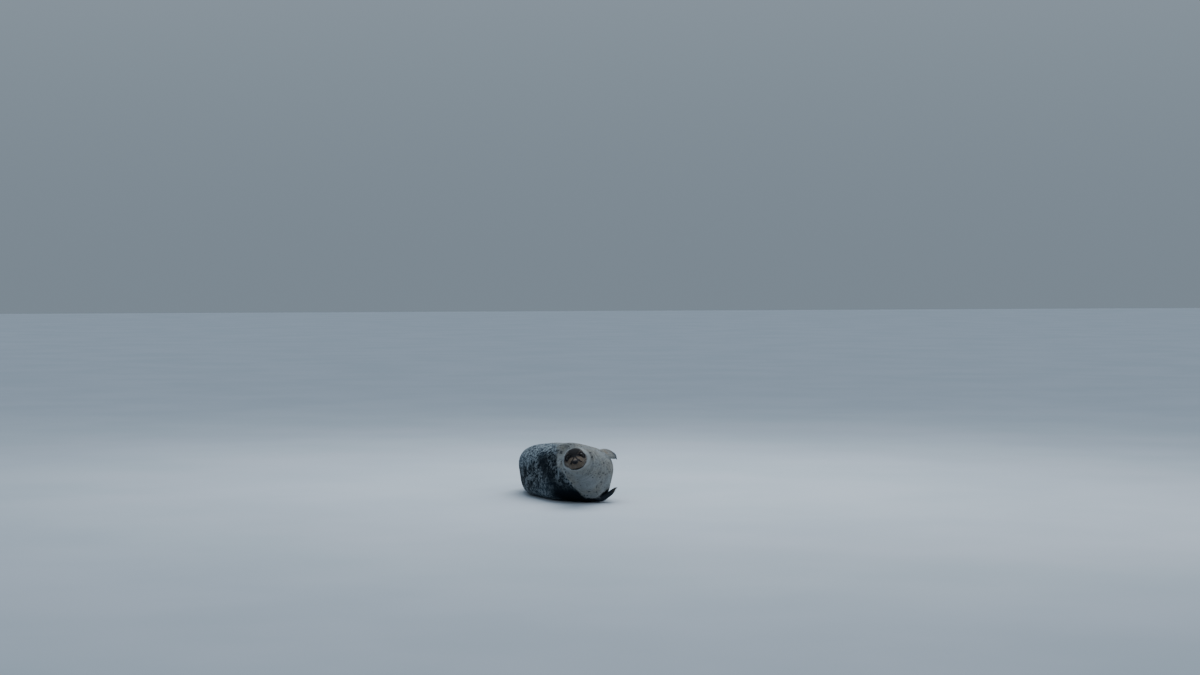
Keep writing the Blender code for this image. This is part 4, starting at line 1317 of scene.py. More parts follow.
# How far a crease goes to its parting and painted shade, and how far a roll goes to painted light.
CREASE, CREASE_PARTING_AND_SHADE, ROLL, ROLL_LIGHT = (-1.0, -0.1), 0.45, (0.2, 0.9), 0.25
BORDERS = {  # the values a border runs over, and how far the middling and the fine noise move it
    "mantle": ((-0.007, 0.007), 0, 0.024),
    "face": ((-0.011, 0.014), 0.016, 0.022),
    "dark_lines": ((-0.0045, 0.0035), 0.008, 0.010),
    "forehead": ((0.075, 0.125), 0.05, 0),
    "onto_limb": ((0.006, 0.055), 0.05, 0),
    "flipper_grey": ((0.62, 0.95), 0.5, 0),
    "flipper_dark": ((0.25, 0.75), 0.35, 0),
}
MOST_SHADE = 0.18  # how far the darkest locks go to the colour between hairs
STRANDS = (900, 150, 900)  # across and along the hair
COAT_ROUGHNESS, BARE_ROUGHNESS, COAT_SHINE = 0.62, 0.35, 0.06
BARE_EDGE, BARE_ROUGH_EDGE = (0.15, 0.6), (0.2, 0.8)
HAIR_BUMP = (0.0006, 0.5)  # height and strength

# %% The coat's material
def pattern(root, name, feature="F1"):
    scale, shift = PATTERNS[name]
    return root.moved(shift).cells(scale, feature)


def border(name, value, middling, fine):
    """A frayed step from 0 to 1 across a border of the table."""
    span, by_middling, by_fine = BORDERS[name]
    return (value + (middling - 0.5) * by_middling + (fine - 0.5) * by_fine).ramp(*span)


def pale_colour(start, root, broad, middling, fine, mantle):
    """Belly and throat: pale and cloudy, with dark specks that crowd towards the mantle."""
    pale = start.mix(broad.ramp(0.35, 0.65), PALE, PALE_WARM)
    pale = start.mix(middling.ramp(*CLOUDS, 0.0, CLOUDS_STRENGTH), pale, PALE_CLOUD)
    beside_mantle = mantle.ramp(*BY_MANTLE, 0.0, BY_MANTLE_PALER) * mantle.ramp(BY_MANTLE[1], 0.0, 1.0, 0.0)
    pale = start.mix(beside_mantle, pale, PALEST)
    size = broad.ramp(0.30, 0.70, *SPECK_SIZE) + mantle.ramp(*NEAR_MANTLE, 0.0, LARGER_NEAR_MANTLE)
    size = size - start.attribute("quiet") * SMALLER_IN_QUIET
    bold = pattern(root, "specks") - fine * SPECK_FRAY - size + BOLD_SMALLER
    bold = bold.ramp(*BOLD_EDGE, 1.0, 0.0) * middling.ramp(0.3, 0.6, *BOLD_STRENGTH)
    faint = pattern(root, "faint_specks") - fine * SPECK_FRAY - size
    faint = faint.ramp(*FAINT_EDGE, FAINT_STRENGTH, 0.0)
    behind_face = start.attribute("along").ramp(*SPECKS_FROM)
    pale = start.mix(faint * behind_face, pale, SPECK)
    return start.mix(bold * behind_face, pale, SPECK)


def back_colour(start, root, broad, middling, fine):
    """Mantle: black in the middle and grey beside it, with a pale net, rings and flecks; painted shade low on
    the flank keeps it black and unmarked.
    """
    # Painted shade low on the flank keeps the back black there and hides its marks.
    out_of_low_shade = 1.0 - start.attribute("low_side")
    side = start.attribute("ridge_off").ramp(*SIDE_FROM_RIDGE) * out_of_low_shade
    back = start.mix(side, BLACK_BACK, GREY_BACK)
    net = pattern(root, "net", "DISTANCE_TO_EDGE") + (fine - 0.5) * NET_WOBBLE
    from_ring = pattern(root, "rings") + (fine - 0.5) * RING_WOBBLE - RING_RADIUS
    ring = start.math("ABSOLUTE", from_ring).ramp(*RING_EDGE, 1.0, 0.0)
    marks = start.math("MAXIMUM", net.ramp(*NET_EDGE, 1.0, 0.0), ring) * middling.ramp(0.44, 0.60)
    salt_scale, salt_shift = PATTERNS["salt"]
    salt = root.moved(salt_shift).noise(salt_scale).ramp(*SALT_EDGE)
    marks = start.math("MAXIMUM", marks * NET_STRENGTH, salt)
    crowd = broad.ramp(0.38, 0.62, *CROWD) * out_of_low_shade + side * CROWD_AT_SIDE
    return start.mix(marks * crowd, back, NET)


def face_colour(start, colour, middling, fine):
    """Brown muzzle, grey forehead, dark lines and painted shade beside the nose, with a ring of the palest
    hair behind them.
    """
    mask = start.attribute("mask")
    colour = start.mix(mask.ramp(*BY_FACE, 0.0, BY_FACE_PALER), colour, PALEST)
    forehead = border("forehead", start.attribute("along"), middling, fine)
    face = start.mix(forehead, MUZZLE_BROWN, FOREHEAD_GREY)
    face = start.mix(middling.ramp(*CHIN_CLOUDS, 0.0, CHIN_STRENGTH), face, CHIN_PALE)
    colour = start.mix(border("face", mask, middling, fine), colour, face)
    lines = border("dark_lines", start.attribute("dark_lines"), middling, fine)
    return start.mix(lines, colour, FACE_DARK)


def flipper_colour(start, middling, fine):
    grey = border("flipper_grey", start.attribute("limb_share"), middling, fine)
    dark = border("flipper_dark", start.attribute("limb_dark"), middling, fine)
    return start.mix(dark, start.mix(grey, FLIPPER_TAN, FLIPPER_GREY), FLIPPER_DARK)


def coat_colour(start):
    """The colour of the hair whose root is at a place of the body."""
    root, mantle = start.attribute("root", "Vector"), start.attribute("mantle")
    broad, middling, fine = root.noise(BROAD), root.noise(MIDDLING, 3, ROUGHER), root.noise(FINE, 2, ROUGHER)
    pale = pale_colour(start, root, broad, middling, fine, mantle)
    back = back_colour(start, root, broad, middling, fine)
    frayed = mantle + (middling - 0.5) * 2.0 * start.attribute("fray")
    colour = start.mix(border("mantle", frayed, middling, fine), pale, back)
    colour = face_colour(start, colour, middling, fine)
    # Creases of the neck and flank get hair parting and painted shade, and their rolls get painted light.
    fold = start.attribute("fold")
    colour = start.mix(fold.ramp(*CREASE, CREASE_PARTING_AND_SHADE, 0.0), colour, PARTING_AND_SHADE_IN_A_FOLD)
    colour = start.mix(fold.ramp(*ROLL, 0.0, ROLL_LIGHT), colour, LIGHT_ON_A_FOLD)
    onto_limb = border("onto_limb", start.attribute("onto_limb"), middling, fine)
    return start.mix(onto_limb, colour, flipper_colour(start, middling, fine))


def coat_material():
    made, start, link = new_material("coat", COAT_ROUGHNESS, Specular_IOR_Level=COAT_SHINE)
    shade = start.attribute("shade").ramp(0.0, 1.0, 0.0, MOST_SHADE)
    colour = start.mix(shade, coat_colour(start), BETWEEN_HAIRS)
    bare = start.attribute("bare")
    colour = start.mix(bare.ramp(*BARE_EDGE), colour, BARE_SKIN)
    strands = start.attribute("combed", "Vector").scaled(STRANDS).noise(1.0, 2, ROUGHER)
    roughness = bare.ramp(*BARE_ROUGH_EDGE, COAT_ROUGHNESS, BARE_ROUGHNESS)
    link(Base_Color=colour, Normal=bump(start, strands, *HAIR_BUMP), Roughness=roughness)
    return made


coat = coat_material()
skin.data.materials.clear()
skin.data.materials.append(coat)
print("nodes of the coat's tree:", len(coat.node_tree.nodes))

# %% [markdown]
# ## Eyes
#
# The eye of a seal is a large, wet ball that looks black, with a brown iris only just lighter than the pupil.
# Each ball is turned to look out of its socket, so its iris is a function of the angle from its gaze.

# %% Balls
BALL_AROUND, BALL_RINGS = 64, 40
PUPIL, IRIS = (0.0025, 0.002, 0.002, 1), (0.010, 0.006, 0.004, 1)
IRIS_EDGE, PUPIL_EDGE = (0.80, 0.93), (0.955, 0.965)  # cosines of the angle from the gaze
STREAKS, STREAK_WAVER = 420, 0.03
BALL_ROUGH, BALL_SHINE, WET_ROUGH, WET_IOR = 0.30, 0.05, 0.03, 1.20


def ball_mesh(name, centre, radius, gaze):
    """A ball with its pole in the gaze, and the cosine of each corner's angle from the gaze."""
    level = np.linspace(0, math.pi, BALL_RINGS + 1)[1:-1]
    turn = np.arange(BALL_AROUND) * 2 * math.pi / BALL_AROUND
    side = unit(np.cross(gaze, (0, 0, 1)))
    up = np.cross(side, gaze)
    circle = np.outer(np.cos(turn), side) + np.outer(np.sin(turn), up)
    rings = [gaze * math.cos(a) + circle * math.sin(a) for a in level]
    points = np.vstack([gaze, *rings, -gaze])
    faces = fan(0, 1, BALL_AROUND) + rings_between(1, len(level), BALL_AROUND)
    faces += fan(len(points) - 1, 1 + (len(level) - 1) * BALL_AROUND, BALL_AROUND)
    return new_mesh(name, centre + points * radius, faces), points @ gaze


def new_mesh(name, points, faces):
    """A smooth mesh whose faces are turned outward."""
    mesh = bpy.data.meshes.new(name)
    mesh.from_pydata([tuple(point) for point in points], [], [tuple(face) for face in faces])
    turned = bmesh.new()
    turned.from_mesh(mesh)
    bmesh.ops.recalc_face_normals(turned, faces=turned.faces)
    turned.to_mesh(mesh)
    turned.free()
    mesh.shade_smooth()
    return mesh


def eye_material():
    wetness = {"Coat_Weight": 1.0, "Coat_Roughness": WET_ROUGH, "Coat_IOR": WET_IOR}
    made, start, link = new_material("wet_eye", BALL_ROUGH, Specular_IOR_Level=BALL_SHINE, **wetness)
    gaze = start.attribute("gaze")
    streaks = start.attribute("root", "Vector").noise(STREAKS) - 0.5
    iris = (gaze + streaks * STREAK_WAVER).ramp(*IRIS_EDGE) * gaze.ramp(*PUPIL_EDGE, 1.0, 0.0)
    link(Base_Color=start.mix(iris, PUPIL, IRIS))
    return made


wet = eye_material()
for name, eye in EYES.items():
    mesh, gaze = ball_mesh(name, eye["centre"], eye["radius"], eye["gaze"])
    write_attribute(mesh, "gaze", "FLOAT", gaze)
    write_attribute(mesh, "root", "FLOAT_VECTOR", read_all(mesh.vertices, "co", size=3))
    mesh.materials.append(wet)
    ball = mesh_object(name + "_ball", mesh)
    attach(ball, "root")
    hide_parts(name)
print("eyes:", len(mesh.polygons), "faces each")

# %% [markdown]
# The dark wet edge of the lids is a thin tube that follows the opening on the ball. It is of the same bare
# skin as the nose pad, so that is finished here too.

# %% Lid rims and nose pad
RIM_AROUND, RIM_SIDES, RIM_RADIUS, RIM_ABOVE_BALL = 96, 10, 0.0007, 0.0002
BARE_DARK, BARE_LIGHT = (0.012, 0.012, 0.015, 1), (0.026, 0.025, 0.031, 1)
PEBBLES, BARE_CLOUDS = 900, 160
PAD_ROUGH, PAD_SHINE, PAD_BUMP = 0.58, 0.10, (0.0003, 0.35)  # height and strength of the pebbles


def on_opening(eye, turn):
    """Places on the ball along the edge of its opening, and the way out of the ball there."""
    x = np.cos(turn) * OPENING_LONG
    y = np.sin(turn) * OPENING_HIGH * narrowing(np.cos(turn))
    out = np.sqrt(np.maximum(eye["radius"] ** 2 - x**2 - y**2, TINY))
    direction = unit(np.outer(x, eye["long"]) + np.outer(y, eye["high"]) + np.outer(out, eye["gaze"]))
    return eye["centre"] + direction * (eye["radius"] + RIM_ABOVE_BALL), direction


def ring_tube(middle, out, radius):
    """A closed tube round a closed line, whose section starts in the direction out."""
    along_line = unit(np.roll(middle, -1, axis=0) - np.roll(middle, 1, axis=0))
    side = np.cross(along_line, out)
    turn = np.arange(RIM_SIDES) * 2 * math.pi / RIM_SIDES
    section = np.cos(turn)[None, :, None] * out[:, None] + np.sin(turn)[None, :, None] * side[:, None]
    points = middle[:, None] + radius * section
    return points.reshape(-1, 3), rings_between(0, len(middle), RIM_SIDES, closed=True)


def bare_material():
    made, start, link = new_material("bare_skin", PAD_ROUGH, Specular_IOR_Level=PAD_SHINE)
    place = start.attribute("root", "Vector")
    colour = start.mix(place.noise(BARE_CLOUDS).ramp(0.35, 0.7), BARE_DARK, BARE_LIGHT)
    link(Base_Color=colour, Normal=bump(start, place.cells(PEBBLES), *PAD_BUMP))
    return made


bare_skin = bare_material()
for name, eye in EYES.items():
    middle, out = on_opening(eye, np.arange(RIM_AROUND) * 2 * math.pi / RIM_AROUND)
    points, faces = ring_tube(middle, out, RIM_RADIUS)
    mesh = new_mesh(name + "_rim", points, faces)
    write_attribute(mesh, "root", "FLOAT_VECTOR", points)
    mesh.materials.append(bare_skin)
    rim_piece = mesh_object(name + "_rim", mesh)
    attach(rim_piece, "root")
pad_mesh = new_mesh("nose_pad", pad_points, pad_faces)
write_attribute(pad_mesh, "root", "FLOAT_VECTOR", pad_points)
pad_mesh.materials.append(bare_skin)
pad = mesh_object("nose_pad", pad_mesh)
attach(pad, "root")
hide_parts("nose")
print("nose pad:", len(pad_mesh.polygons), "faces")

# %% [markdown]
# ## Claws
#
# Each claw is a cone that bends down, a little narrower than high, with a ridge on top. They leave the digits
# where the solids' claws do. The claws of one flipper are one mesh.

# %% Claws
CLAW_SIDES, CLAW_RINGS = 14, 14
CLAW_TAPER, CLAW_NARROWER, CLAW_ROOT_AT, CLAW_ABOVE_MIDDLE = 0.85, 0.8, 0.97, 0.25
CLAW_SPREAD, CLAW_DROOP, CLAW_RADIUS, CLAW_POINT = 0.25, 0.30, 0.0038, 0.6
CLAW_BURIED, CLAW_RIDGE, RIDGE_WIDTH = 0.25, 0.10, 0.5  # shares of its length and thickness; radians
HORN_DARK, HORN_LIGHT = (0.020, 0.017, 0.015, 1), (0.058, 0.048, 0.039, 1)
HORN_ROUGH, HORN_SHINE, HORN_BUMP = 0.48, 0.25, (0.0003, 0.4)
GRAIN, GRAIN_STRENGTH, PALER_TO_TIP = 300, 0.3, (0.1, 1.1)


def claw_net(limb, index):
    """Points and faces of the claw of one digit, and each corner's share of the claw's length."""
    read, _ = paddle_frame(limb)
    place = digit_places(DIGITS)[index]
    here, ahead, wide, face, size = (value[0] for value in read(limb["digits"][index] * CLAW_ROOT_AT))
    up = face if face[2] > 0 else -face
    root = here + wide * place * size[0] + up * size[1] * CLAW_ABOVE_MIDDLE
    length = limb["claw"]
    forward = unit(ahead + wide * place * CLAW_SPREAD) * length
    radius = CLAW_RADIUS * (1 + length / FORE_CLAW) / 2
    turn = np.arange(CLAW_SIDES) * 2 * math.pi / CLAW_SIDES
    points, shares = [], []
    for share in np.linspace(-CLAW_BURIED, 1, CLAW_RINGS):
        past = max(share, 0)
        middle = root + forward * share - up * CLAW_DROOP * length * past**2
        thick = radius * (1 - CLAW_TAPER * past**1.5)
        ridge = 1 + CLAW_RIDGE * np.exp(-(((turn - math.pi / 2) / RIDGE_WIDTH) ** 2))
        across = np.outer(np.cos(turn) * thick * CLAW_NARROWER, wide)
        points.append(middle + across + np.outer(np.sin(turn) * thick * ridge, up))
        shares += [past] * CLAW_SIDES
    before, last = points[-2].mean(axis=0), points[-1].mean(axis=0)
    tip = last + unit(last - before) * radius * (1 - CLAW_TAPER) * CLAW_POINT
    faces = [tuple(range(CLAW_SIDES)), *rings_between(0, CLAW_RINGS, CLAW_SIDES)]
    faces += fan(CLAW_RINGS * CLAW_SIDES, (CLAW_RINGS - 1) * CLAW_SIDES, CLAW_SIDES)
    return np.vstack([*points, tip]), faces, [*shares, 1]


def horn_material():
    made, start, link = new_material("claw_horn", HORN_ROUGH, Specular_IOR_Level=HORN_SHINE)
    grain = start.attribute("root", "Vector").noise(GRAIN, 3, ROUGHER)
    paler = (start.attribute("claw") + grain * GRAIN_STRENGTH).ramp(*PALER_TO_TIP)
    link(Base_Color=start.mix(paler, HORN_DARK, HORN_LIGHT), Normal=bump(start, grain, *HORN_BUMP))
    return made


horn = horn_material()
for name, limb in LIMBS.items():
    if "digits" not in limb:
        continue
    points, faces, shares = [], [], []
    for index in range(DIGITS):
        claw_points, claw_faces, claw_shares = claw_net(limb, index)
        faces += [tuple(len(shares) + i for i in face) for face in claw_faces]
        points.append(claw_points)
        shares += claw_shares
    points = np.vstack(points)
    mesh = new_mesh(name + "_claws", points, faces)
    write_attribute(mesh, "root", "FLOAT_VECTOR", points)
    write_attribute(mesh, "claw", "FLOAT", np.array(shares))
    mesh.materials.append(horn)
    claws = mesh_object(name + "_claws", mesh)
    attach(claws, "root")
    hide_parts(*(node for node in frame["nodes"] if "claw" in node and name in node))
print("claws:", len(mesh.polygons), "faces for a flipper")

# %% [markdown]
# ## Coat
#
# The hair of this seal is about a centimetre long, stiff, and lies flat towards the tail. Particles would
# make it quickly but would not leave the file as a mesh. So one small lock is drawn with six triangles, and
# Geometry Nodes sets it on scattered roots, turned along the lie, sized by the hair's length there, and then
# realizes it. Each lock keeps its root's numbers, so it has the skin's marking at its root.

# %% One lock
LOCK = ((-0.50, 0.0, -0.3), (0.0, 0.0, 0.1), (0.50, 0.0, -0.3), (-0.42, 0.50, 0.05), (0.0, 0.55, 1.0),
        (0.42, 0.50, 0.05), (0.0, 1.0, 0.3))  # across, along and out, as shares of its width, length, height
LOCK_FACES = ((0, 1, 4), (0, 4, 3), (1, 2, 5), (1, 5, 4), (3, 4, 6), (4, 5, 6))
lock_mesh = new_mesh("lock", LOCK, LOCK_FACES)
if lock_mesh.polygons[0].normal.z < 0:
    lock_mesh.flip_normals()
write_attribute(lock_mesh, "strand", "FLOAT_VECTOR", np.array(LOCK))
lock = mesh_object("lock", lock_mesh)
lock.hide_render = lock.hide_viewport = True


# %% The tree that sets locks on the skin
class Nodes:
    """Builds a Geometry Nodes tree: each call adds a node and gives one of its sockets."""

    def __init__(self, name, sockets):
        self.tree = bpy.data.node_groups.new(name, "GeometryNodeTree")
        self.tree.interface.new_socket("Geometry", in_out="INPUT", socket_type="NodeSocketGeometry")
        self.tree.interface.new_socket("Geometry", in_out="OUTPUT", socket_type="NodeSocketGeometry")
        self.ids = {}
        for label, kind in sockets.items():
            made = self.tree.interface.new_socket(label, in_out="INPUT", socket_type="NodeSocket" + kind)
            self.ids[label] = made.identifier
        self.given = self.tree.nodes.new("NodeGroupInput").outputs
        self.result = self.tree.nodes.new("NodeGroupOutput").inputs["Geometry"]

    def add(self, kind, settings, inputs, output=0):
        return new_node(self.tree, kind, settings, inputs).outputs[output]

    def field(self, name, kind="FLOAT_VECTOR"):
        return self.add("GeometryNodeInputNamedAttribute", {"data_type": kind}, {"Name": name})

    def store(self, geometry, name, kind, domain, value):
        inputs = {"Geometry": geometry, "Name": name, "Value": value}
        return self.add("GeometryNodeStoreNamedAttribute", {"data_type": kind, "domain": domain}, inputs)

    def vector(self, operation, *values):
        return self.add("ShaderNodeVectorMath", {"operation": operation}, dict(enumerate(values)))

    def math(self, operation, *values):
        return self.add("ShaderNodeMath", {"operation": operation}, dict(enumerate(values)))

    def random(self, low, high, seed):
        inputs = {2: low, 3: high, "Seed": seed}
        return self.add("FunctionNodeRandomValue", {"data_type": "FLOAT"}, inputs, 1)

    def combine(self, x, y, z):
        return self.add("ShaderNodeCombineXYZ", {}, {0: x, 1: y, 2: z})

    def on_points(self, points, thing, rotation, scale):
        """Instances of an object on points."""
        thing = self.add("GeometryNodeObjectInfo", {"transform_space": "ORIGINAL"}, {"Object": thing}, 4)
        inputs = {"Points": points, "Instance": thing, "Rotation": rotation, "Scale": scale}
        return self.add("GeometryNodeInstanceOnPoints", {}, inputs)

    def finished(self, geometry):
        """Sets the material last and gives the tree back."""
        inputs = {"Geometry": geometry, "Material": self.given["Material"]}
        self.tree.links.new(self.add("GeometryNodeSetMaterial", {}, inputs), self.result)
        return self


LOCK_WIDTH, LOCK_HEIGHT, LOCK_LENGTHS = 0.32, 0.10, (0.8, 1.2)  # shares of the hair's length
LOCK_TILT, LOCK_TILT_SPREAD, LOCK_TURN = 9.0, 4.0, 12.0  # degrees
MOST_LOCKS = 4e5  # to a square metre
PATCH = 0.003  # share of its piece's map that one lock takes
FLOOR_GAP = 0.0004
SEEDS = {"tilt": 1, "turn": 2, "length": 3, "whisker_radius": 4, "whisker_length": 5, "shade": 7}
NOWHERE = -9  # lower than any point


def lock_rotation(tree, normal):
    """Out along the skin's normal, turned to the lie of the hair, then tilted and turned a little."""
    upright = tree.add("FunctionNodeAlignRotationToVector", {"axis": "Z"}, {"Vector": normal})
    settings, inputs = {"axis": "Y", "pivot_axis": "Z"}, {"Rotation": upright, "Vector": tree.field("lie")}
    along_lie = tree.add("FunctionNodeAlignRotationToVector", settings, inputs)
    least, most = (math.radians(LOCK_TILT + spread) for spread in (-LOCK_TILT_SPREAD, LOCK_TILT_SPREAD))
    tilt = tree.random(least, most, SEEDS["tilt"])
    yaw = tree.random(-math.radians(LOCK_TURN), math.radians(LOCK_TURN), SEEDS["turn"])
    turned = tree.add("FunctionNodeEulerToRotation", {}, {0: tree.combine(tilt, 0.0, yaw)})
    return tree.add("FunctionNodeRotateRotation", {"rotation_space": "LOCAL"}, {0: along_lie, 1: turned})


def place_on_piece_map(tree, low, size):
    """Each lock's own small patch of its piece's map, at the place of its root."""
    place = tree.vector("DIVIDE", tree.vector("SUBTRACT", tree.field("unwrap"), low), size)
    place = tree.vector("MINIMUM", place, (1 - PATCH, 1 - PATCH, 0))
    place = tree.vector("MAXIMUM", place, (PATCH, PATCH, 0))
    off_middle = tree.vector("SUBTRACT", tree.field("strand"), (0, 0.5, 0))
    return tree.vector("ADD", place, tree.vector("MULTIPLY", off_middle, (PATCH, PATCH, 0)))


def coat_tree():
    tree = Nodes("coat_of_locks", {"Lock": "Object", "Region": "Int", "Spacing": "Float", "Seed": "Int",
                                   "Map low": "Vector", "Map size": "Vector", "Material": "Material"})
    given = tree.given
    here = tree.add("FunctionNodeCompare", {"data_type": "INT", "operation": "EQUAL"},
                    {2: tree.field("region", "INT"), 3: given["Region"]})
    kept = tree.store(given["Geometry"], "unwrap", "FLOAT_VECTOR", "CORNER", tree.field(MAP_NAME))
    points = tree.add("GeometryNodeDistributePointsOnFaces", {"distribute_method": "POISSON"}, {
        "Mesh": kept, "Selection": here, "Distance Min": given["Spacing"], "Density Max": MOST_LOCKS,
        "Density Factor": tree.field("cover", "FLOAT"), "Seed": given["Seed"]})
    turned = lock_rotation(tree, points.node.outputs["Normal"])
    points = tree.store(points, "shade", "FLOAT", "POINT", tree.random(0.0, 1.0, SEEDS["shade"]))
    points = tree.add("GeometryNodeRemoveAttribute", {}, {0: points, "Name": MAP_NAME})
    length = tree.math("MULTIPLY", tree.field("hair", "FLOAT"), tree.random(*LOCK_LENGTHS, SEEDS["length"]))
    width, height = (tree.math("MULTIPLY", length, share) for share in (LOCK_WIDTH, LOCK_HEIGHT))
    placed = tree.on_points(points, given["Lock"], turned, tree.combine(width, length, height))
    solid = tree.add("GeometryNodeRealizeInstances", {}, {0: placed})
    place = place_on_piece_map(tree, given["Map low"], given["Map size"])
    solid = tree.store(solid, MAP_NAME, "FLOAT2", "CORNER", place)
    place = tree.add("GeometryNodeInputPosition", {}, {})
    above = tree.vector("MAXIMUM", place, (NOWHERE, NOWHERE, FLOOR_GAP))
    solid = tree.add("GeometryNodeSetPosition", {}, {"Geometry": solid, "Position": above})
    return tree.finished(solid)


def plain_mesh_from(base, tree, name, **values):
    """Runs the tree on a copy of the base and gives its result as a plain mesh object."""
    carrier = mesh_object(name, base.data.copy())
    change = carrier.modifiers.new("nodes", "NODES")
    change.node_group = tree.tree
    for label, value in values.items():
        change[tree.ids[label.replace("_", " ")]] = value
    graph = bpy.context.evaluated_depsgraph_get()
    mesh = bpy.data.meshes.new_from_object(carrier.evaluated_get(graph), depsgraph=graph)
    carrier.modifiers.remove(change)
    mesh.name = name
    carrier.data = mesh
    return carrier


# %% [markdown]
# The coat is split into pieces along the body, so that none grows too heavy. Locks are closest on the face
# and the feet, where the hair is shortest.

# %% Coat pieces
SPACING = {"head": 0.00105, "neck": 0.0016, "chest": 0.0022, "belly": 0.0023, "loins": 0.0023,
           "rump": 0.0021, "limbs": 0.0016}
FIRST_SEED = 11

coat_nodes = coat_tree()
map_places = read_all(skin.data.uv_layers[MAP_NAME].data, "uv", size=2)
place_region = np.repeat(face_region, read_all(skin.data.polygons, "loop_total", int))
coat_total = 0
for number, part in enumerate(REGIONS):
    own = map_places[place_region == number]
    low, size = own.min(axis=0), np.ptp(own, axis=0)
    piece = plain_mesh_from(skin, coat_nodes, "coat_" + part, Lock=lock, Material=coat, Region=number,
                            Spacing=SPACING[part], Seed=number + FIRST_SEED,
                            Map_low=(*low.tolist(), 0.0), Map_size=(*size.tolist(), 1.0))
    for extra in ("lie", "hair", "cover", "strand", "unwrap", "region", "limb"):
        if extra in piece.data.attributes:
            piece.data.attributes.remove(piece.data.attributes[extra])
    piece.data.shade_smooth()
    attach(piece, "root")
    coat_total += len(piece.data.polygons)
    print(piece.name, len(piece.data.polygons), "triangles")
print("coat:", coat_total, "triangles")

# %% [markdown]
# ## Whiskers
#
# Whiskers stand in rows on the pads, shortest in front and longest at the back, and sweep backward and down.
# A few grow over each eye. A second small tree sets one straight, tapering hair on every root and bends it.

# %% One whisker
HAIR_SIDES, HAIR_RINGS = 5, 12
HAIR_TIP_RADIUS, HAIR_END = 0.1, 1.01  # shares of the radius at the root, and of the length


def straight_hair():
    """Upright, one unit long, one unit in radius at its root."""
    turn = np.arange(HAIR_SIDES) * 2 * math.pi / HAIR_SIDES
    points = []
    for share in np.linspace(0, 1, HAIR_RINGS):
        radius = 1 - (1 - HAIR_TIP_RADIUS) * share
        x, y = np.cos(turn) * radius, np.sin(turn) * radius
        points.append(np.stack([x, y, np.full(HAIR_SIDES, share)], axis=-1))
    points = np.vstack([*points, [(0, 0, 0)], [(0, 0, HAIR_END)]])
    faces = rings_between(0, HAIR_RINGS, HAIR_SIDES)
    faces += fan(len(points) - 2, 0, HAIR_SIDES)
    faces += fan(len(points) - 1, (HAIR_RINGS - 1) * HAIR_SIDES, HAIR_SIDES)
    return points, faces


hair_points, hair_faces = straight_hair()
hair_mesh = new_mesh("one_hair", hair_points, hair_faces)
write_attribute(hair_mesh, "share", "FLOAT", hair_points[:, 2])
one_hair = mesh_object("one_hair", hair_mesh)
one_hair.hide_render = one_hair.hide_viewport = True
print("one whisker:", len(hair_points), "corners,", len(hair_faces), "faces")

# %% Roots of the whiskers and brow hairs
WHISKER_LENGTHS, LENGTH_POWER = (0.016, 0.075), 1.3
WHISKER_OUT, WHISKER_BACK = (1.0, 0.65), (0.15, 0.70)  # aim of the foremost and of the hindmost
BROW = ((0.093, 33), (0.097, 38), (0.096, 44), (0.099, 30))  # along the body, degrees
BROW_LENGTH, BROW_BACK = 0.022, 0.5
ROOT_DEPTH = 0.001

roots, aims, lengths = [], [], []


def add_root(place, turn, aim_out, aim_back, length):
    out, tail = outward(place, turn), frame_at(place)[1][0]
    roots.append(surface(place, turn, coat_depth(place))[0] - out * ROOT_DEPTH)
    aims.append(unit(out * aim_out + tail * aim_back))
    lengths.append(length)


for side in (-1, 1):
    for place, turn, share in whisker_roots(side):
        aim_out, aim_back = (np.interp(share, (0, 1), ends) for ends in (WHISKER_OUT, WHISKER_BACK))
        add_root(place, turn, aim_out, aim_back, np.interp(share**LENGTH_POWER, (0, 1), WHISKER_LENGTHS))
    for place, turn in BROW:
        add_root(place, side * turn, 1.0, BROW_BACK, BROW_LENGTH)
root_mesh = bpy.data.meshes.new("whisker_roots")
root_mesh.from_pydata([tuple(root) for root in roots], [], [])
write_attribute(root_mesh, "aim", "FLOAT_VECTOR", np.array(aims))
write_attribute(root_mesh, "size", "FLOAT", np.array(lengths))
root_object = mesh_object("whisker_roots", root_mesh)
print("whisker roots:", len(roots))

# %% The tree that sets whiskers on their roots
WHISKER_RADIUS, WHISKER_BEND = 0.00032, 0.28
RADIUS_SPREAD, LENGTH_SPREAD = (0.8, 1.2), (0.85, 1.15)
WHISKER_FALLS = (0.0, 0.5, -0.8)  # the way a tip bends: back and down


def whisker_tree():
    sockets = {"Hair": "Object", "Bend": "Float", "Radius": "Float", "Material": "Material"}
    tree = Nodes("whiskers_on_roots", sockets)
    given = tree.given
    aimed = tree.add("FunctionNodeAlignRotationToVector", {"axis": "Z"}, {"Vector": tree.field("aim")})
    radius = tree.math("MULTIPLY", given["Radius"], tree.random(*RADIUS_SPREAD, SEEDS["whisker_radius"]))
    spread = tree.random(*LENGTH_SPREAD, SEEDS["whisker_length"])
    length = tree.math("MULTIPLY", tree.field("size", "FLOAT"), spread)
    cloud = tree.add("GeometryNodeMeshToPoints", {}, {0: given["Geometry"]})
    cloud = tree.store(cloud, "whole", "FLOAT", "POINT", length)
    placed = tree.on_points(cloud, given["Hair"], aimed, tree.combine(radius, radius, length))
    solid = tree.add("GeometryNodeRealizeInstances", {}, {0: placed})
    share = tree.field("share", "FLOAT")
    fall = tree.math("MULTIPLY", tree.math("POWER", share, 2.0), tree.field("whole", "FLOAT"))
    fall = tree.math("MULTIPLY", fall, given["Bend"])
    drop = tree.vector("MULTIPLY", WHISKER_FALLS, tree.combine(fall, fall, fall))
    return tree.finished(tree.add("GeometryNodeSetPosition", {}, {"Geometry": solid, "Offset": drop}))


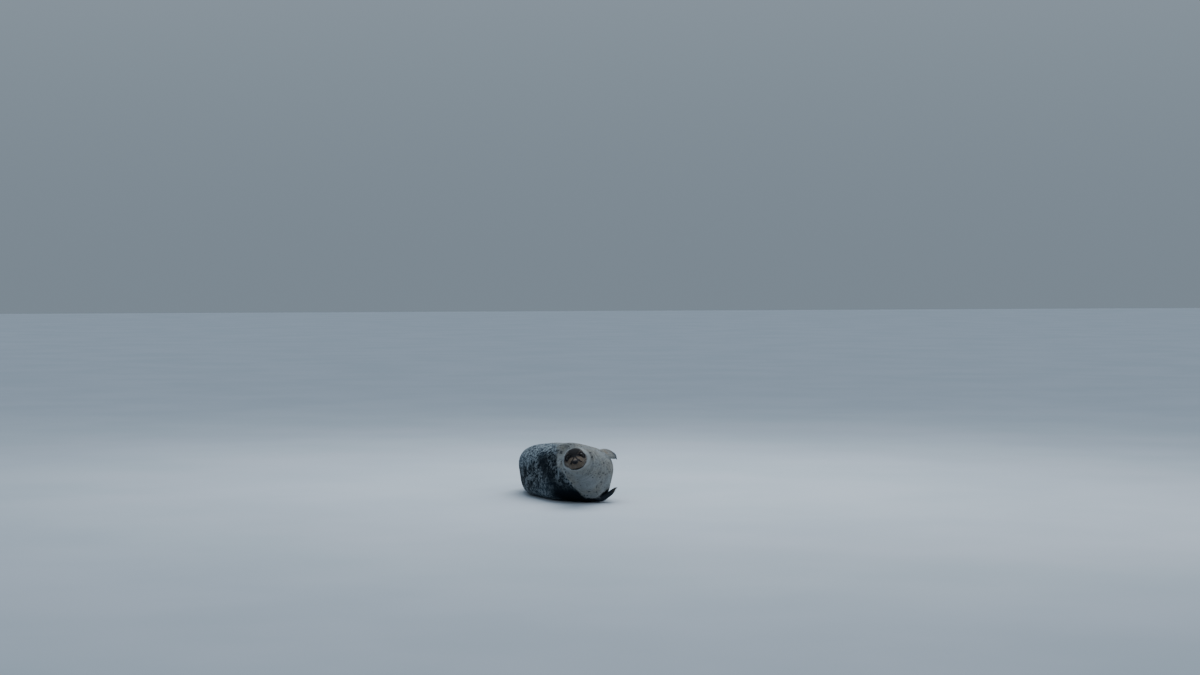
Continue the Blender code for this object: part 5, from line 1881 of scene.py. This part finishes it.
# %% Whiskers
WHISKER_ROOT = (0.15, 0.135, 0.12, 1)
WHISKER_TIP = (0.36, 0.345, 0.32, 1)
WHISKER_ROUGH = 0.35

whisker_look, start, link = new_material("whisker", WHISKER_ROUGH)
link(Base_Color=start.mix(start.attribute("share"), WHISKER_ROOT, WHISKER_TIP))
whiskers = plain_mesh_from(root_object, whisker_tree(), "whiskers", Hair=one_hair, Bend=WHISKER_BEND,
                           Radius=WHISKER_RADIUS, Material=whisker_look)
bpy.data.objects.remove(root_object)
whiskers.data.shade_smooth()
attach(whiskers, "root")
print("whiskers:", len(roots), "with", len(whiskers.data.polygons), "faces")

# %% [markdown]
# ## Floor, light and camera
#
# The seal lies on a plain pale floor. A large lamp above and a weaker one at the side give soft light, like
# an overcast day. The floor reaches far back, under a sky that is darkest just above it.

# %% Floor
FLOOR_SIZE = 60
FLOOR_ROUGH, FLOOR_CLOUDS, FLOOR_DETAIL = 0.8, 0.8, 3
FLOOR_DARKER = (0.50, 0.56, 0.62, 1)
FLOOR_PALER = (0.55, 0.60, 0.66, 1)

floor_mesh = bpy.data.meshes.new("floor")
corners = [(x * FLOOR_SIZE, y * FLOOR_SIZE, 0) for x, y in ((-1, -1), (1, -1), (1, 1), (-1, 1))]
floor_mesh.from_pydata(corners, [], [(0, 1, 2, 3)])
floor = mesh_object("floor", floor_mesh)
made, start, link = new_material("floor", FLOOR_ROUGH)
clouds = start.add("ShaderNodeTexCoord", {}, {}, 3).noise(FLOOR_CLOUDS, FLOOR_DETAIL)
link(Base_Color=start.mix(clouds.ramp(0.3, 0.7), FLOOR_DARKER, FLOOR_PALER))
floor_mesh.materials.append(made)
print("floor:", 2 * FLOOR_SIZE, "metres wide")

# %% Light
SKY_LOW = (0.200, 0.250, 0.300, 1)
SKY_HIGH = (0.46, 0.55, 0.64, 1)
LAMPS = {"sky": {"place": (0.9, 1.2, 5.0), "aim": (0, 0, 0), "size": 5.0, "watts": 240,
                 "colour": (0.92, 0.97, 1.0)},
         "side": {"place": (4.2, -3.4, 3.0), "aim": (0, -0.2, 0.15), "size": 3.0, "watts": 42,
                  "colour": (1.0, 0.98, 0.95)}}

world = bpy.data.worlds.new("studio")
bpy.context.scene.world = world
world.use_nodes = True
background = world.node_tree.nodes["Background"]
above = Wire(world.node_tree)
above = above.add("ShaderNodeSeparateXYZ", {}, {0: above.add("ShaderNodeTexCoord", {}, {}, 0)}, 2)
sky = above.mix(above.ramp(-0.02, 0.45), SKY_LOW, SKY_HIGH)
world.node_tree.links.new(sky.socket, background.inputs["Color"])
for name, said in LAMPS.items():
    data = bpy.data.lights.new(name, "AREA")
    data.shape, data.size, data.energy, data.color = "DISK", said["size"], said["watts"], said["colour"]
    lamp = bpy.data.objects.new(name, data)
    bpy.context.scene.collection.objects.link(lamp)
    lamp.location = said["place"]
    lamp.rotation_euler = (Vector(said["aim"]) - Vector(said["place"])).to_track_quat("-Z", "Y").to_euler()
print("lamps:", *LAMPS)

# %% Camera
CAMERA_PLACE, CAMERA_TURN, CAMERA_TIPPED, LENS = (-3.529, -14.044, 1.4155), -15.0, -1.71, 70
camera_data = bpy.data.cameras.new("camera")
camera_data.lens = LENS
camera = bpy.data.objects.new("camera", camera_data)
bpy.context.scene.collection.objects.link(camera)
camera.location = CAMERA_PLACE
camera.rotation_euler = (math.radians(90 + CAMERA_TIPPED), 0, math.radians(CAMERA_TURN))
bpy.context.scene.camera = camera
print("camera at:", *CAMERA_PLACE)
